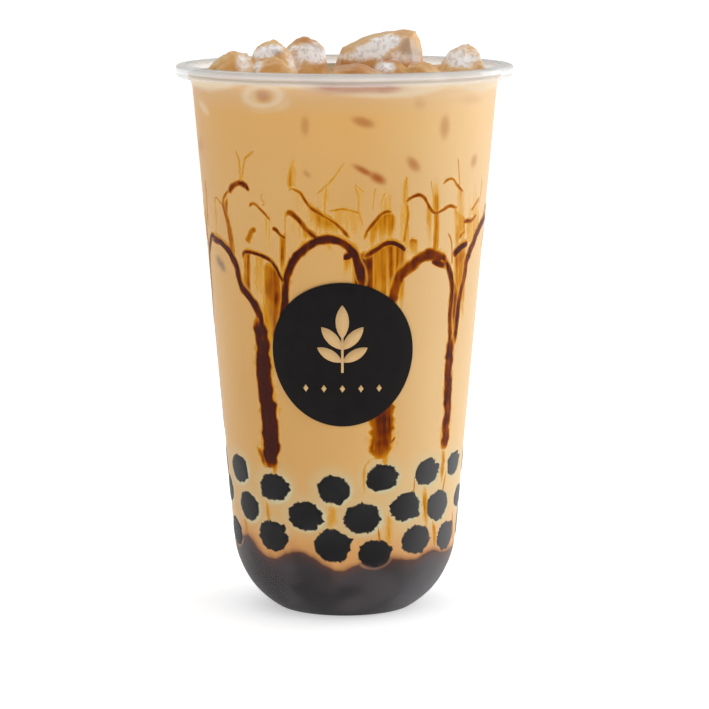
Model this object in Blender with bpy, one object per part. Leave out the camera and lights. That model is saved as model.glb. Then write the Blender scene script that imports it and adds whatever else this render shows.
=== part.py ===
"""Iced milk tea with tapioca pearls and brown sugar syrup in a clear U-shaped cup.

The origin is the centre of the cup's flat base, +Z is up and the round print faces -Y.
All sizes are in metres and all angles in degrees, counted from the front (-Y) towards +X.
"""

import math
import random

import bmesh
import bpy
from mathutils import Euler, Vector, noise

MM = 0.001

# Clear cup: a straight cone over one large corner radius and a small flat base
CUP_HEIGHT = 154.6 * MM
WALL_TOP_RADIUS = 43.7 * MM
WALL_SLOPE = 0.087
WALL_THICKNESS = 1.0 * MM
CORNER_RADIUS = 25.7 * MM
CORNER_TOP = 19.9 * MM
FLARE_HEIGHT = 3.0 * MM
FLARE_WIDTH = 0.9 * MM
RIM_RADIUS = 47.5 * MM
RIM_DEPTH = 3.4 * MM
RIM_ROUNDING = 0.8 * MM
SEGMENTS = 48
OUTER_CORNER_STEPS = 6
INNER_CORNER_STEPS = 5

# Clearance between touching pieces
GAP = 0.3 * MM

# Milk tea: a little inside the wall, so that the syrup strokes can stand proud of it
DRINK_LEVEL = 148.0 * MM
SYRUP_RELIEF = 0.5 * MM

# Heap of pearls: syrup layer, core and the pearls against the wall
LAYER_TOP = 16.0 * MM
CORE_INSET = 5.6 * MM
CORE_SEGMENTS = 24
CORE_CORNER_STEPS = 3
CORE_SHOULDER = 42.0 * MM
CORE_TOP = 46.5 * MM
CORE_DOME_TURNS = (30.0, 60.0)
PEARL_RADIUS = 4.55 * MM
PEARL_FLATTENING = 0.92
PEARL_SIDES = 8
PEARL_UNEVENNESS = 0.08
# Depth towards the wall and width of each ring, as shares of the radius
PEARL_FORM = ((1.0, 0.4), (0.45, 0.9), (-0.5, 0.87))
PEARL_LIFT = 0.6 * MM
PEARL_SIZES = (0.94, 1.05)
PEARL_STEP = 29.0
PEARL_ROWS = (
    (41.4 * MM, (-63, -38, -4.5, 18, 43, 67)),
    (32.2 * MM, (-78, -54, -20, 7.5, 31, 54, 80)),
    (22.9 * MM, (-68, -39, -7, 17, 41, 66)),
)
PEARL_SEED = 7

# Syrup strokes: columns on the wall, with a round arch from each to the next
COLUMN_ANGLES = (-92, -38, 17, 52, 107, 150, 205)
COLUMN_FEET = (50 * MM, 46 * MM, 48 * MM, 49 * MM, 51 * MM, 47 * MM, 50 * MM)
ARCH_CROWNS = (107 * MM, 108.5 * MM, 104 * MM, 111 * MM, 106 * MM, 109 * MM, 105 * MM)
ARCH_SPRINGING = 84 * MM
ARCH_FOOT_DROP = 12 * MM
ARCH_FOOT_TURN = 1.0
COLUMN_TOP_RISE = 2 * MM
COLUMN_WIDTH = 4.6 * MM
ARCH_WIDTH = 2.6 * MM
# Uprights above the columns: turn away from the column and height of each point
UPRIGHT_POINTS = ((5.5, 84 * MM), (3.5, 100 * MM), (8.5, 112 * MM), (5.5, 120 * MM))
UPPER_ARCH_COUNT = 6
UPPER_ARCH_HEIGHT = 118 * MM
UPPER_ARCH_RISE = 5 * MM
UPPER_ARCH_SPAN = 14
UPPER_ARCH_BEAT = 2.4
UPPER_ARCH_WIDTH = 1.4 * MM
# A stroke's section: place across as a share of its width, and depth as a share of its relief
WIDE_SECTION = ((-0.5, -2.0), (-0.3, 1.0), (0.3, 1.0), (0.5, -2.0))
NARROW_SECTION = ((-0.7, -2.0), (0.0, 1.0), (0.7, -2.0))
ARCH_STEPS = 7
UPPER_ARCH_STEPS = 4

# Ice above the drink: middle, half sizes, height of the top, turn about Z, tilt, roundness, slope of
# the top, how much the top narrows, and how far its peak lies along the piece, as shares
ICE_PIECES = (
    ("ice_left", (-31.2, -7.4), (8.0, 8.2, 11.0), 158.7, 20, -8, 0.62, 0.12, 0.25, 0.0),
    ("ice_left_tall", (-20.6, 9.9), (7.9, 7.8, 12.5), 161.0, -10, 4, 0.62, 0.0, 0.52, -0.2),
    ("ice_left_front", (-20.0, -24.0), (8.2, 7.2, 10.0), 158.0, 8, 0, 0.62, 0.0, 0.35, 0.05),
    ("ice_middle_back", (-12.0, 26.8), (7.3, 7.2, 12.5), 161.0, 15, 5, 0.62, 0.0, 0.35, 0.05),
    ("ice_large", (8.8, 7.8), (12.9, 8.6, 12.5), 164.0, -6, 0, 0.42, 0.3, 0.05, 0.05),
    ("ice_front", (3.2, -29.2), (9.6, 8.2, 9.0), 156.4, 4, 3, 0.62, -0.05, 0.2, 0.0),
    ("ice_small", (12.2, -10.6), (6.0, 5.6, 9.0), 156.8, 30, 6, 0.62, 0.0, 0.3, 0.1),
    ("ice_right_front", (22.8, -22.2), (7.2, 7.6, 9.0), 156.8, -20, 5, 0.62, -0.1, 0.35, -0.2),
    ("ice_right", (32.0, 1.0), (8.2, 9.0, 12.0), 160.2, 5, 0, 0.62, 0.0, 0.7, 0.35),
    ("ice_back", (9.8, 31.0), (8.6, 7.0, 9.5), 156.5, -8, 0, 0.62, 0.0, 0.3, -0.1),
    ("ice_right_back", (26.4, 21.4), (6.6, 6.4, 8.5), 153.2, 25, 0, 0.62, 0.0, 0.3, 0.1),
)
ICE_CUTS = 2
ICE_BALL = 1.12
ICE_UNEVENNESS = 0.07
ICE_PEAK_CURVE = 1.5
ICE_CLEARANCE = 0.36 * MM

# Round print on the front of the wall
PRINT_RADIUS = 20.2 * MM
PRINT_HEIGHT = 77.3 * MM
PRINT_ANGLE = -1.0
PRINT_THICKNESS = 0.25 * MM
PRINT_RINGS = 3
PRINT_SIDES = 26


def clear_scene():
    """Remove the objects that the scene starts with."""
    for found in list(bpy.data.objects):
        bpy.data.objects.remove(found, do_unlink=True)


def make_material(name, colour, roughness, alpha=1.0, transmission=0.0):
    """Make a plain Principled material."""
    material = bpy.data.materials.new(name)
    material.use_nodes = True
    shader = material.node_tree.nodes["Principled BSDF"]
    shader.inputs["Base Color"].default_value = (*colour, 1.0)
    shader.inputs["Roughness"].default_value = roughness
    shader.inputs["Alpha"].default_value = alpha
    shader.inputs["Transmission Weight"].default_value = transmission
    return material


def add_object(name, builder, material=None):
    """Turn a bmesh into an object of the scene, with its faces pointing out."""
    bmesh.ops.recalc_face_normals(builder, faces=builder.faces)
    mesh = bpy.data.meshes.new(name)
    builder.to_mesh(mesh)
    builder.free()
    mesh.shade_smooth()
    mesh.set_sharp_from_angle(angle=math.radians(35))
    made = bpy.data.objects.new(name, mesh)
    bpy.context.scene.collection.objects.link(made)
    if material is not None:
        mesh.materials.append(material)
    return made


def around(radius, angle, height):
    """Give the point at an angle from the front, a radius and a height."""
    turn = math.radians(angle)
    return Vector((radius * math.sin(turn), -radius * math.cos(turn), height))


def wall_radius(height, inset=0.0):
    """Give the radius of the cup's outer form at a height, moved in by the inset."""
    lean = math.atan(WALL_SLOPE)
    if height >= CORNER_TOP:
        straight = WALL_TOP_RADIUS - WALL_SLOPE * (CUP_HEIGHT - height)
        return straight - inset / math.cos(lean)
    middle_radius, middle_height = corner_middle()
    reach = CORNER_RADIUS - inset
    return middle_radius + math.sqrt(reach ** 2 - (height - middle_height) ** 2)


def corner_middle():
    """Give the radius and height of the middle of the corner's arc."""
    lean = math.atan(WALL_SLOPE)
    tangent_radius = WALL_TOP_RADIUS - WALL_SLOPE * (CUP_HEIGHT - CORNER_TOP)
    middle_radius = tangent_radius - CORNER_RADIUS * math.cos(lean)
    middle_height = CORNER_TOP + CORNER_RADIUS * math.sin(lean)
    return middle_radius, middle_height


def bowl_points(inset, top, steps):
    """List the points of the cup's form, moved in by the inset, from the floor's middle up to the top."""
    middle_radius, middle_height = corner_middle()
    reach = CORNER_RADIUS - inset
    low_turn = math.asin((inset - middle_height) / reach)
    high_turn = math.asin((min(top, CORNER_TOP) - middle_height) / reach)
    points = [(0.0, inset)]
    for step in range(steps + 1):
        turn = low_turn + (high_turn - low_turn) * step / steps
        points.append((middle_radius + reach * math.cos(turn), middle_height + reach * math.sin(turn)))
    if top > CORNER_TOP:
        points.append((wall_radius(top, inset), top))
    return points


def turn_profile(builder, profile, segments=SEGMENTS):
    """Turn a closed profile, which starts and ends on the axis, into a solid."""
    rings = []
    for radius, height in profile:
        if radius < 1e-7:
            rings.append([builder.verts.new((0.0, 0.0, height))])
            continue
        ring = []
        for segment in range(segments):
            ring.append(builder.verts.new(around(radius, 360.0 * segment / segments, height)))
        rings.append(ring)
    for lower, upper in zip(rings, rings[1:]):
        for segment in range(segments):
            following = (segment + 1) % segments
            if len(lower) == 1:
                builder.faces.new((lower[0], upper[following], upper[segment]))
            elif len(upper) == 1:
                builder.faces.new((lower[segment], lower[following], upper[0]))
            else:
                builder.faces.new((lower[segment], lower[following], upper[following], upper[segment]))


def make_cup(material):
    """Make the clear cup, with its rolled-out rim."""
    rim_bottom = CUP_HEIGHT - RIM_DEPTH
    flare_bottom = rim_bottom - FLARE_HEIGHT
    inner_top = CUP_HEIGHT - RIM_ROUNDING
    inner_radius = wall_radius(CUP_HEIGHT, WALL_THICKNESS)
    profile = bowl_points(0.0, flare_bottom, OUTER_CORNER_STEPS)
    profile += [
        (wall_radius(rim_bottom) + FLARE_WIDTH, rim_bottom),
        (RIM_RADIUS - RIM_ROUNDING, rim_bottom),
        (RIM_RADIUS, rim_bottom + RIM_ROUNDING),
        (RIM_RADIUS, CUP_HEIGHT - RIM_ROUNDING),
        (RIM_RADIUS - RIM_ROUNDING, CUP_HEIGHT),
        (inner_radius + RIM_ROUNDING, CUP_HEIGHT),
    ]
    profile += reversed(bowl_points(WALL_THICKNESS, inner_top, INNER_CORNER_STEPS))
    builder = bmesh.new()
    turn_profile(builder, profile)
    return add_object("cup", builder, material)


def make_core(name, grow, material=None):
    """Make the heap's core on its syrup layer, larger by grow, as a few-sided turned form."""
    inset = WALL_THICKNESS + CORE_INSET - grow
    shoulder_radius = wall_radius(CORE_SHOULDER, inset)
    top = LAYER_TOP + grow
    layer_inset = WALL_THICKNESS + GAP - grow
    profile = bowl_points(layer_inset, top, CORE_CORNER_STEPS)
    profile += [(wall_radius(top, inset), top), (shoulder_radius, CORE_SHOULDER)]
    for turn in CORE_DOME_TURNS:
        height = CORE_SHOULDER + (CORE_TOP + grow - CORE_SHOULDER) * math.sin(math.radians(turn))
        profile.append((shoulder_radius * math.cos(math.radians(turn)), height))
    profile.append((0.0, CORE_TOP + grow))
    builder = bmesh.new()
    turn_profile(builder, profile, CORE_SEGMENTS)
    return add_object(name, builder, material)


def pearl_places():
    """Give the angle, height and size of each pearl: the shown ones, and the same rows all round."""
    draw = random.Random(PEARL_SEED)
    places = []
    for height, shown in PEARL_ROWS:
        angles = list(shown)
        free_turn = 360.0 + shown[0] - shown[-1]
        count = round(free_turn / PEARL_STEP) - 1
        angles += [shown[-1] + free_turn * (index + 1) / (count + 1) for index in range(count)]
        for angle in angles:
            lift = draw.uniform(-PEARL_LIFT, PEARL_LIFT)
            size = draw.uniform(*PEARL_SIZES)
            places.append((angle, height + lift, size))
    return places


def make_pearl(index, place, grow):
    """Make one pearl: a few-sided uneven ball, flat where it lies on the wall, with its back in the core."""
    angle, height, size = place
    radius = PEARL_RADIUS * size
    centre = around(wall_radius(height, WALL_THICKNESS + GAP) - radius * PEARL_FLATTENING, angle, height)
    outward = around(1.0, angle, -WALL_SLOPE).normalized()
    across = around(1.0, angle + 90.0, 0.0)
    upward = across.cross(outward)
    builder = bmesh.new()
    rings = []
    for depth, share in PEARL_FORM:
        ring = []
        for side in range(PEARL_SIDES):
            turn = 2.0 * math.pi * (side + 0.3 * index) / PEARL_SIDES
            spoke = across * math.cos(turn) + upward * math.sin(turn)
            bump = 1.0 + PEARL_UNEVENNESS * noise.noise(spoke * 2.0 + Vector((index, 0.0, 0.0)))
            form = outward * depth * PEARL_FLATTENING + spoke * share * bump
            ring.append(builder.verts.new(centre + form * radius + form.normalized() * grow))
        rings.append(ring)
    builder.faces.new(rings[0])
    builder.faces.new(rings[-1])
    for front, back in zip(rings, rings[1:]):
        for side in range(PEARL_SIDES):
            following = (side + 1) % PEARL_SIDES
            builder.faces.new((front[side], back[side], back[following]))
            builder.faces.new((front[side], back[following], front[following]))
    return add_object(f"pearl_shape_{index}", builder)


def apply_boolean(target, operation, operands):
    """Join or cut the target with a list of shapes in one step, then remove them."""
    gathered = bpy.data.collections.new("operands")
    for shape in operands:
        gathered.objects.link(shape)
    change = target.modifiers.new("boolean", "BOOLEAN")
    change.operation = operation
    change.operand_type = "COLLECTION"
    change.collection = gathered
    change.solver = "EXACT"
    graph = bpy.context.evaluated_depsgraph_get()
    mesh = bpy.data.meshes.new_from_object(target.evaluated_get(graph))
    target.modifiers.clear()
    target.data = mesh
    for shape in operands:
        bpy.data.objects.remove(shape, do_unlink=True)
    bpy.data.collections.remove(gathered)


def keep_largest_body(target):
    """Drop any loose scrap that a cut leaves."""
    builder = bmesh.new()
    builder.from_mesh(target.data)
    left = set(builder.verts)
    bodies = []
    while left:
        body = set()
        waiting = [left.pop()]
        while waiting:
            vertex = waiting.pop()
            body.add(vertex)
            for edge in vertex.link_edges:
                other = edge.other_vert(vertex)
                if other in left:
                    left.remove(other)
                    waiting.append(other)
        bodies.append(body)
    bodies.sort(key=len)
    for scrap in bodies[:-1]:
        bmesh.ops.delete(builder, geom=list(scrap), context="VERTS")
    builder.to_mesh(target.data)
    builder.free()


def make_heap(material):
    """Make the heap: the syrup layer on the floor, its core and the pearls fused on."""
    heap = make_core("pearls", 0.0, material)
    shapes = [make_pearl(index, place, 0.0) for index, place in enumerate(pearl_places())]
    apply_boolean(heap, "UNION", shapes)
    keep_largest_body(heap)
    return heap


def make_stroke(index, path, width):
    """Make one syrup stroke: a ridge along a path of angles and heights on the drink's side."""
    drink_inset = WALL_THICKNESS + GAP + SYRUP_RELIEF
    corners = NARROW_SECTION if width < ARCH_WIDTH else WIDE_SECTION
    builder = bmesh.new()
    sections = []
    for step, (angle, height) in enumerate(path):
        before = path[max(step - 1, 0)]
        after = path[min(step + 1, len(path) - 1)]
        radius = wall_radius(height, drink_inset)
        along = Vector((math.radians(after[0] - before[0]) * radius, after[1] - before[1])).normalized()
        across = Vector((along.y, -along.x))
        section = []
        for side, depth in corners:
            offset = across * (side * width)
            place = wall_radius(height + offset.y, drink_inset - depth * SYRUP_RELIEF)
            turned = angle + math.degrees(offset.x / radius)
            section.append(builder.verts.new(around(place, turned, height + offset.y)))
        sections.append(section)
    for lower, upper in zip(sections, sections[1:]):
        for corner in range(len(corners)):
            following = (corner + 1) % len(corners)
            builder.faces.new((lower[corner], lower[following], upper[following], upper[corner]))
    builder.faces.new(sections[0])
    builder.faces.new(reversed(sections[-1]))
    return add_object(f"stroke_shape_{index}", builder)


def arch_path(left, right, foot, springing, crown, steps):
    """List the angles and heights of an arch with two straight legs."""
    middle = (left + right) / 2.0
    span = (right - left) / 2.0
    path = [(left, foot)]
    for step in range(steps + 1):
        turn = math.pi * step / steps
        path.append((middle - span * math.cos(turn), springing + (crown - springing) * math.sin(turn)))
    path.append((right, foot))
    return path


def syrup_strokes():
    """Make every syrup stroke: the columns, the arches between them and the small arches above."""
    strokes = []
    count = len(COLUMN_ANGLES)
    for number, angle in enumerate(COLUMN_ANGLES):
        following = COLUMN_ANGLES[(number + 1) % count]
        if following < angle:
            following += 360
        column = [(angle, COLUMN_FEET[number]), (angle, ARCH_SPRINGING + COLUMN_TOP_RISE)]
        strokes.append((column, COLUMN_WIDTH))
        left = angle + ARCH_FOOT_TURN
        right = following - ARCH_FOOT_TURN
        foot = ARCH_SPRINGING - ARCH_FOOT_DROP
        arch = arch_path(left, right, foot, ARCH_SPRINGING, ARCH_CROWNS[number], ARCH_STEPS)
        strokes.append((arch, ARCH_WIDTH))
        upright = [(angle + turn, height) for turn, height in UPRIGHT_POINTS]
        strokes.append((upright, UPPER_ARCH_WIDTH))
    for number in range(UPPER_ARCH_COUNT):
        left = 360.0 * number / UPPER_ARCH_COUNT
        right = left + UPPER_ARCH_SPAN
        springing = UPPER_ARCH_HEIGHT - UPPER_ARCH_RISE
        crown = UPPER_ARCH_HEIGHT + UPPER_ARCH_RISE * math.cos(UPPER_ARCH_BEAT * number)
        arch = arch_path(left, right, springing - UPPER_ARCH_RISE, springing, crown, UPPER_ARCH_STEPS)
        strokes.append((arch, UPPER_ARCH_WIDTH))
    return [make_stroke(index, path, width) for index, (path, width) in enumerate(strokes)]


def make_ice(piece, grow, material=None):
    """Make one ice piece: a rounded, slightly uneven block that narrows to its peak."""
    name, middle, half_sizes, top, turn, tilt, roundness, slope, narrowing, peak = piece
    builder = bmesh.new()
    bmesh.ops.create_cube(builder, size=2.0)
    bmesh.ops.subdivide_edges(builder, edges=builder.edges, cuts=ICE_CUTS, use_grid_fill=True)
    spin = Euler((0.0, math.radians(tilt), math.radians(turn))).to_matrix()
    offset = Vector((len(name), middle[0], middle[1]))
    for vertex in builder.verts:
        square = vertex.co.copy()
        ball = square.normalized() * ICE_BALL
        form = square.lerp(ball, roundness)
        form *= 1.0 + ICE_UNEVENNESS * noise.noise(form * 1.3 + offset)
        sized = Vector(form[axis] * half_sizes[axis] for axis in range(3))
        rise = max(form.z, 0.0) ** ICE_PEAK_CURVE
        sized.z += slope * sized.x if sized.z > 0.0 else 0.0
        sized.x = sized.x * (1.0 - narrowing * rise) + peak * half_sizes[0] * rise
        sized.y *= 1.0 - narrowing * rise
        vertex.co = spin @ sized
    highest = max(vertex.co.z for vertex in builder.verts)
    builder.normal_update()
    pushes = [vertex.normal * (grow / MM) for vertex in builder.verts]
    for vertex, push in zip(builder.verts, pushes):
        vertex.co = (vertex.co + push + Vector((*middle, top - highest))) * MM
    bmesh.ops.triangulate(builder, faces=builder.faces, quad_method="FIXED")
    label = name if material is not None else f"{name}_cutter"
    return add_object(label, builder, material)


def make_drink(material):
    """Make the milk tea: cut round the heap and the ice, with the syrup strokes fused on."""
    inset = WALL_THICKNESS + GAP + SYRUP_RELIEF
    bottom = LAYER_TOP - GAP
    profile = [(0.0, bottom), (wall_radius(bottom, inset), bottom)]
    profile += [(wall_radius(CORNER_TOP, inset), CORNER_TOP)]
    profile += [(wall_radius(DRINK_LEVEL, inset), DRINK_LEVEL), (0.0, DRINK_LEVEL)]
    builder = bmesh.new()
    turn_profile(builder, profile)
    drink = add_object("drink", builder, material)
    apply_boolean(drink, "UNION", syrup_strokes())
    cutters = [make_core("core_cutter", GAP)]
    cutters += [make_pearl(index, place, GAP) for index, place in enumerate(pearl_places())]
    cutters += [make_ice(piece, ICE_CLEARANCE) for piece in ICE_PIECES]
    apply_boolean(drink, "DIFFERENCE", cutters)
    keep_largest_body(drink)
    return drink


def make_print(material):
    """Make the round print as a thin disc that follows the cup's wall."""
    builder = bmesh.new()
    lean = math.atan(WALL_SLOPE)
    sheets = []
    for inset in (-GAP, -GAP - PRINT_THICKNESS):
        rings = []
        for ring in range(PRINT_RINGS + 1):
            points = []
            sides = PRINT_SIDES if ring else 1
            for side in range(sides):
                turn = 2.0 * math.pi * side / sides
                across = PRINT_RADIUS * ring / PRINT_RINGS * math.cos(turn)
                height = PRINT_HEIGHT + PRINT_RADIUS * ring / PRINT_RINGS * math.sin(turn) * math.cos(lean)
                angle = PRINT_ANGLE + math.degrees(across / wall_radius(PRINT_HEIGHT))
                points.append(builder.verts.new(around(wall_radius(height, inset), angle, height)))
            rings.append(points)
        for inner, outer in zip(rings, rings[1:]):
            for side in range(PRINT_SIDES):
                following = (side + 1) % PRINT_SIDES
                if len(inner) == 1:
                    builder.faces.new((inner[0], outer[side], outer[following]))
                else:
                    builder.faces.new((inner[side], outer[side], outer[following], inner[following]))
        sheets.append(rings[-1])
    for side in range(PRINT_SIDES):
        following = (side + 1) % PRINT_SIDES
        builder.faces.new((sheets[0][side], sheets[0][following], sheets[1][following], sheets[1][side]))
    return add_object("print", builder, material)


def main():
    """Build the whole part."""
    clear_scene()
    make_cup(make_material("clear_plastic", (0.92, 0.93, 0.92), 0.08, 0.3, 0.9))
    make_heap(make_material("pearls", (0.03, 0.022, 0.02), 0.35))
    make_drink(make_material("milk_tea", (0.66, 0.42, 0.2), 0.4))
    ice = make_material("ice", (0.93, 0.85, 0.74), 0.1, 0.8, 0.6)
    for piece in ICE_PIECES:
        make_ice(piece, 0.0, ice)
    make_print(make_material("black_print", (0.015, 0.014, 0.014), 0.4))


main()
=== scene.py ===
"""Looks of the iced milk tea with tapioca pearls and brown sugar syrup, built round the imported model.

Lengths are in metres. Angles are in degrees, counted from the front (-Y) towards +X.
A place read off the photograph is a pixel of its 709 x 709 frame, and the camera's own numbers
carry it onto the cup's wall.
"""

import math
import random

import bpy
import numpy as np
from mathutils import Euler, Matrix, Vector, noise


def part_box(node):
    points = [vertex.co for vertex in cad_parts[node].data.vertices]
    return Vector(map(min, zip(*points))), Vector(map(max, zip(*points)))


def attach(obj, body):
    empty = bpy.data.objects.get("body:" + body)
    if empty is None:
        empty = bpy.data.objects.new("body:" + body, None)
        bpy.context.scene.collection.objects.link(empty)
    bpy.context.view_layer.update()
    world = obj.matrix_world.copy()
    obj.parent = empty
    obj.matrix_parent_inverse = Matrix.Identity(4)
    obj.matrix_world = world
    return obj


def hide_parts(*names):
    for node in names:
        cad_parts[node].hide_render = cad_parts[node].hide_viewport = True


MM = 0.001

# Camera: the photograph's view, in its own pixels
CAMERA_DISTANCE = 900.0 * MM
CAMERA_HEIGHT = 208.3 * MM
CAMERA_PITCH = 8.62
FOCAL_PIXELS = 3190.0
FRAME_PIXELS = 709.0
AXIS_COLUMN = 344.6
SENSOR_WIDTH = 36.0

# Clear cup, with the part's own sizes
CUP_HEIGHT = 154.6 * MM
WALL_TOP_RADIUS = 43.7 * MM
WALL_SLOPE = 0.087
WALL_THICKNESS = 1.0 * MM
CORNER_RADIUS = 25.7 * MM
CORNER_TOP = 19.9 * MM
FLARE_HEIGHT = 3.0 * MM
FLARE_WIDTH = 0.9 * MM
RIM_RADIUS = 47.5 * MM
RIM_DEPTH = 3.4 * MM
RIM_ROUNDING = 0.8 * MM
# The rim's bead: how far it stands out past the skirt below it, and the heights above the rim's foot where
# the skirt ends and the bead begins
BEAD_OVERHANG = 0.15 * MM
SKIRT_TOP = 1.3 * MM
BEAD_BOTTOM = 1.9 * MM
CUP_SEGMENTS = 240
WALL_STEPS = 24
FLARE_STEPS = 6
# How milky the plastic is: the wall, the wall above the drink, and what the rim adds
WALL_MILKY = 0.001
HAZE_MILKY = 0.14
RIM_MILKY = 0.6
# The wall's sheen: what is left of it at the foot, and the heights between which it comes up
FOOT_SHEEN = 0.1
SHEEN_RISE = (3.0 * MM, 26.0 * MM)
# Gloss of the plastic: its least share, and what a slanting look adds
GLOSS_LEAST = 0.003
GLOSS_SLANT = 0.11
GLOSS_POWER = 3.2

# Depths inside the wall's outer face: the tea's skin lies furthest in, and all reach into the wall
TEA_INSET = 0.32 * MM
FILM_INSET = 0.30 * MM
LAYER_INSET = 0.28 * MM
GLOW_INSET = 0.265 * MM
THREAD_INSET = 0.255 * MM
STROKE_INSET = 0.245 * MM
PEARL_INSET = 0.12 * MM

# Milk tea
DRINK_LEVEL = 148.0 * MM
TEA_BOTTOM = 12.0 * MM
FRONT_TURN = 96.0
FRONT_COLUMNS = 300
BACK_COLUMNS = 106
TEA_ROW_STEPS = ((12.0 * MM, 50.0 * MM, 84), (50.0 * MM, 116.0 * MM, 50), (116.0 * MM, 152.0 * MM, 68))
TOP_RINGS = 30
TOP_RIPPLE = 0.25 * MM
# The tea's skin climbs the wall up to under the rim, and how quickly it falls off inwards
CLIMB = 4.2 * MM
CLIMB_REACH = 0.3 * MM
# How far each mask shows on the tea's top, where the light painted on lifts its shade
TOP_SHARES = {"painted_right_light": 0.8, "pale": 0.3}
# Where the tea grows lighter upwards, and where the halo round the pearls starts above the layer
HIGH_RISE = (118.0 * MM, 146.0 * MM)
HALO_RISE = (22.0 * MM, 29.0 * MM)
# Reach of the halo close round a pearl and wide round it, of the warm tint above the layer, and in mm of the
# layer's stain
HALO_NEAR = 0.8 * MM
HALO_WIDE = 2.6 * MM
WARM_REACH = 8.0 * MM
STAIN_REACH = 1.1
# Angles at which the light painted on the tea's right side comes up and goes again
RIGHT_LIGHT_RISE = (0.0, 52.0)
RIGHT_LIGHT_FALL = (96.0, 150.0)

# Pearls at the wall: pixel of the middle, width and height in pixels
PEARLS_SHOWN = (
    (238, 468, 17, 30), (273, 487, 31, 30), (333, 490, 34, 31), (382, 478, 34, 28), (428, 472, 25, 28),
    (454, 463, 13, 25), (230, 487, 6, 28), (248, 506, 20, 31), (304, 516, 39, 31), (362, 519, 40, 34),
    (406, 507, 32, 29), (438, 505, 23, 33), (458, 495, 7, 24), (236, 530, 14, 29), (272, 536, 30, 33),
    (332, 546, 39, 36), (375, 554, 35, 30), (416, 540, 30, 31), (446, 535, 17, 31),
)
PEARL_RADIUS = 4.55 * MM
PEARL_ROW_HEIGHTS = (41.4 * MM, 32.2 * MM, 22.9 * MM)
PEARL_STEP = 29.0
PEARL_SIDES = 160
PEARL_WIDEST = 1.18
PEARL_DEPTH = 0.96
# How far pearls in a row may lie from its height
PEARL_ROW_REACH = 4.6 * MM
# Pearls that the photograph does not show: how far they wander, and the ranges of their sizes
HIDDEN_PEARL_TURN = 3.0
HIDDEN_PEARL_RISE = 0.9 * MM
HIDDEN_PEARL_SIZES = (0.92, 1.08)
HIDDEN_PEARL_WIDTHS = (0.96, 1.12)
HIDDEN_PEARL_HEIGHTS = (0.9, 1.02)
# How ragged a pearl's outline is: how close the bumps lie, and their height as a share
PEARL_RAGGEDNESS = ((1.6, 0.1), (4.5, 0.08), (12.0, 0.12), (28.0, 0.08))
PEARL_SEED = 7
# Points that stand out of the outline: how many, the middle and spread of their turns, heights and widths
PEARL_POINTS = (1, 3)
POINT_TURNS = (-0.2, 1.0)
POINT_HEIGHTS = (0.08, 0.18)
POINT_WIDTHS = (0.12, 0.26)
# A pearl's form from its flat front to its back: depth and width as shares
PEARL_FORM = (
    (0.0, 0.3), (0.0, 0.6), (0.004, 0.85), (0.025, 0.98), (0.06, 1.0), (0.14, 1.0), (0.4, 0.96),
    (0.7, 0.8), (0.92, 0.42), (1.0, 0.05),
)

# Dark syrup layer at the bottom: its upper edge in the photograph
LAYER_EDGE_SHOWN = (
    (231, 541), (236, 545), (242, 537), (247, 534), (252, 540), (258, 549), (266, 557), (276, 559),
    (286, 554), (295, 552), (304, 553), (314, 559), (324, 566), (334, 571), (344, 572), (355, 566),
    (366, 562), (378, 561), (392, 559), (404, 560), (416, 560), (425, 554), (433, 550), (440, 552),
    (447, 551), (453, 546), (457, 543),
)
# Painted shade at its lower left: middle and half sizes in pixels, turn, strength
LAYER_SHADE = ((256, 584, 36, 24, 40, 0.75),)
# Its upper edge at the sides and back: height, height of the waves, number of places, turn between them
LAYER_TOP = 20.0 * MM
LAYER_WAVE = 1.6 * MM
LAYER_WAVE_STEPS = 18
LAYER_WAVE_TURN = 2.3
LAYER_RIPPLE = 0.25 * MM
LAYER_ROWS = 60
LAYER_COLUMNS = 720
LAYER_BOTTOM = 0.12 * MM
# How far the layer's top reaches in from the wall, and how far it falls on the way
LAYER_LIP = 3.0 * MM
LAYER_LIP_DROP = 0.5 * MM
# The wall's sheen painted onto dark things, paling them: side, where it comes up and where it goes in
# degrees, strength
SIDE_PAINTED_SHEEN = ((1.0, (14.0, 62.0), (95.0, 150.0), 0.85), (-1.0, (30.0, 62.0), (80.0, 130.0), 0.22))

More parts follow.
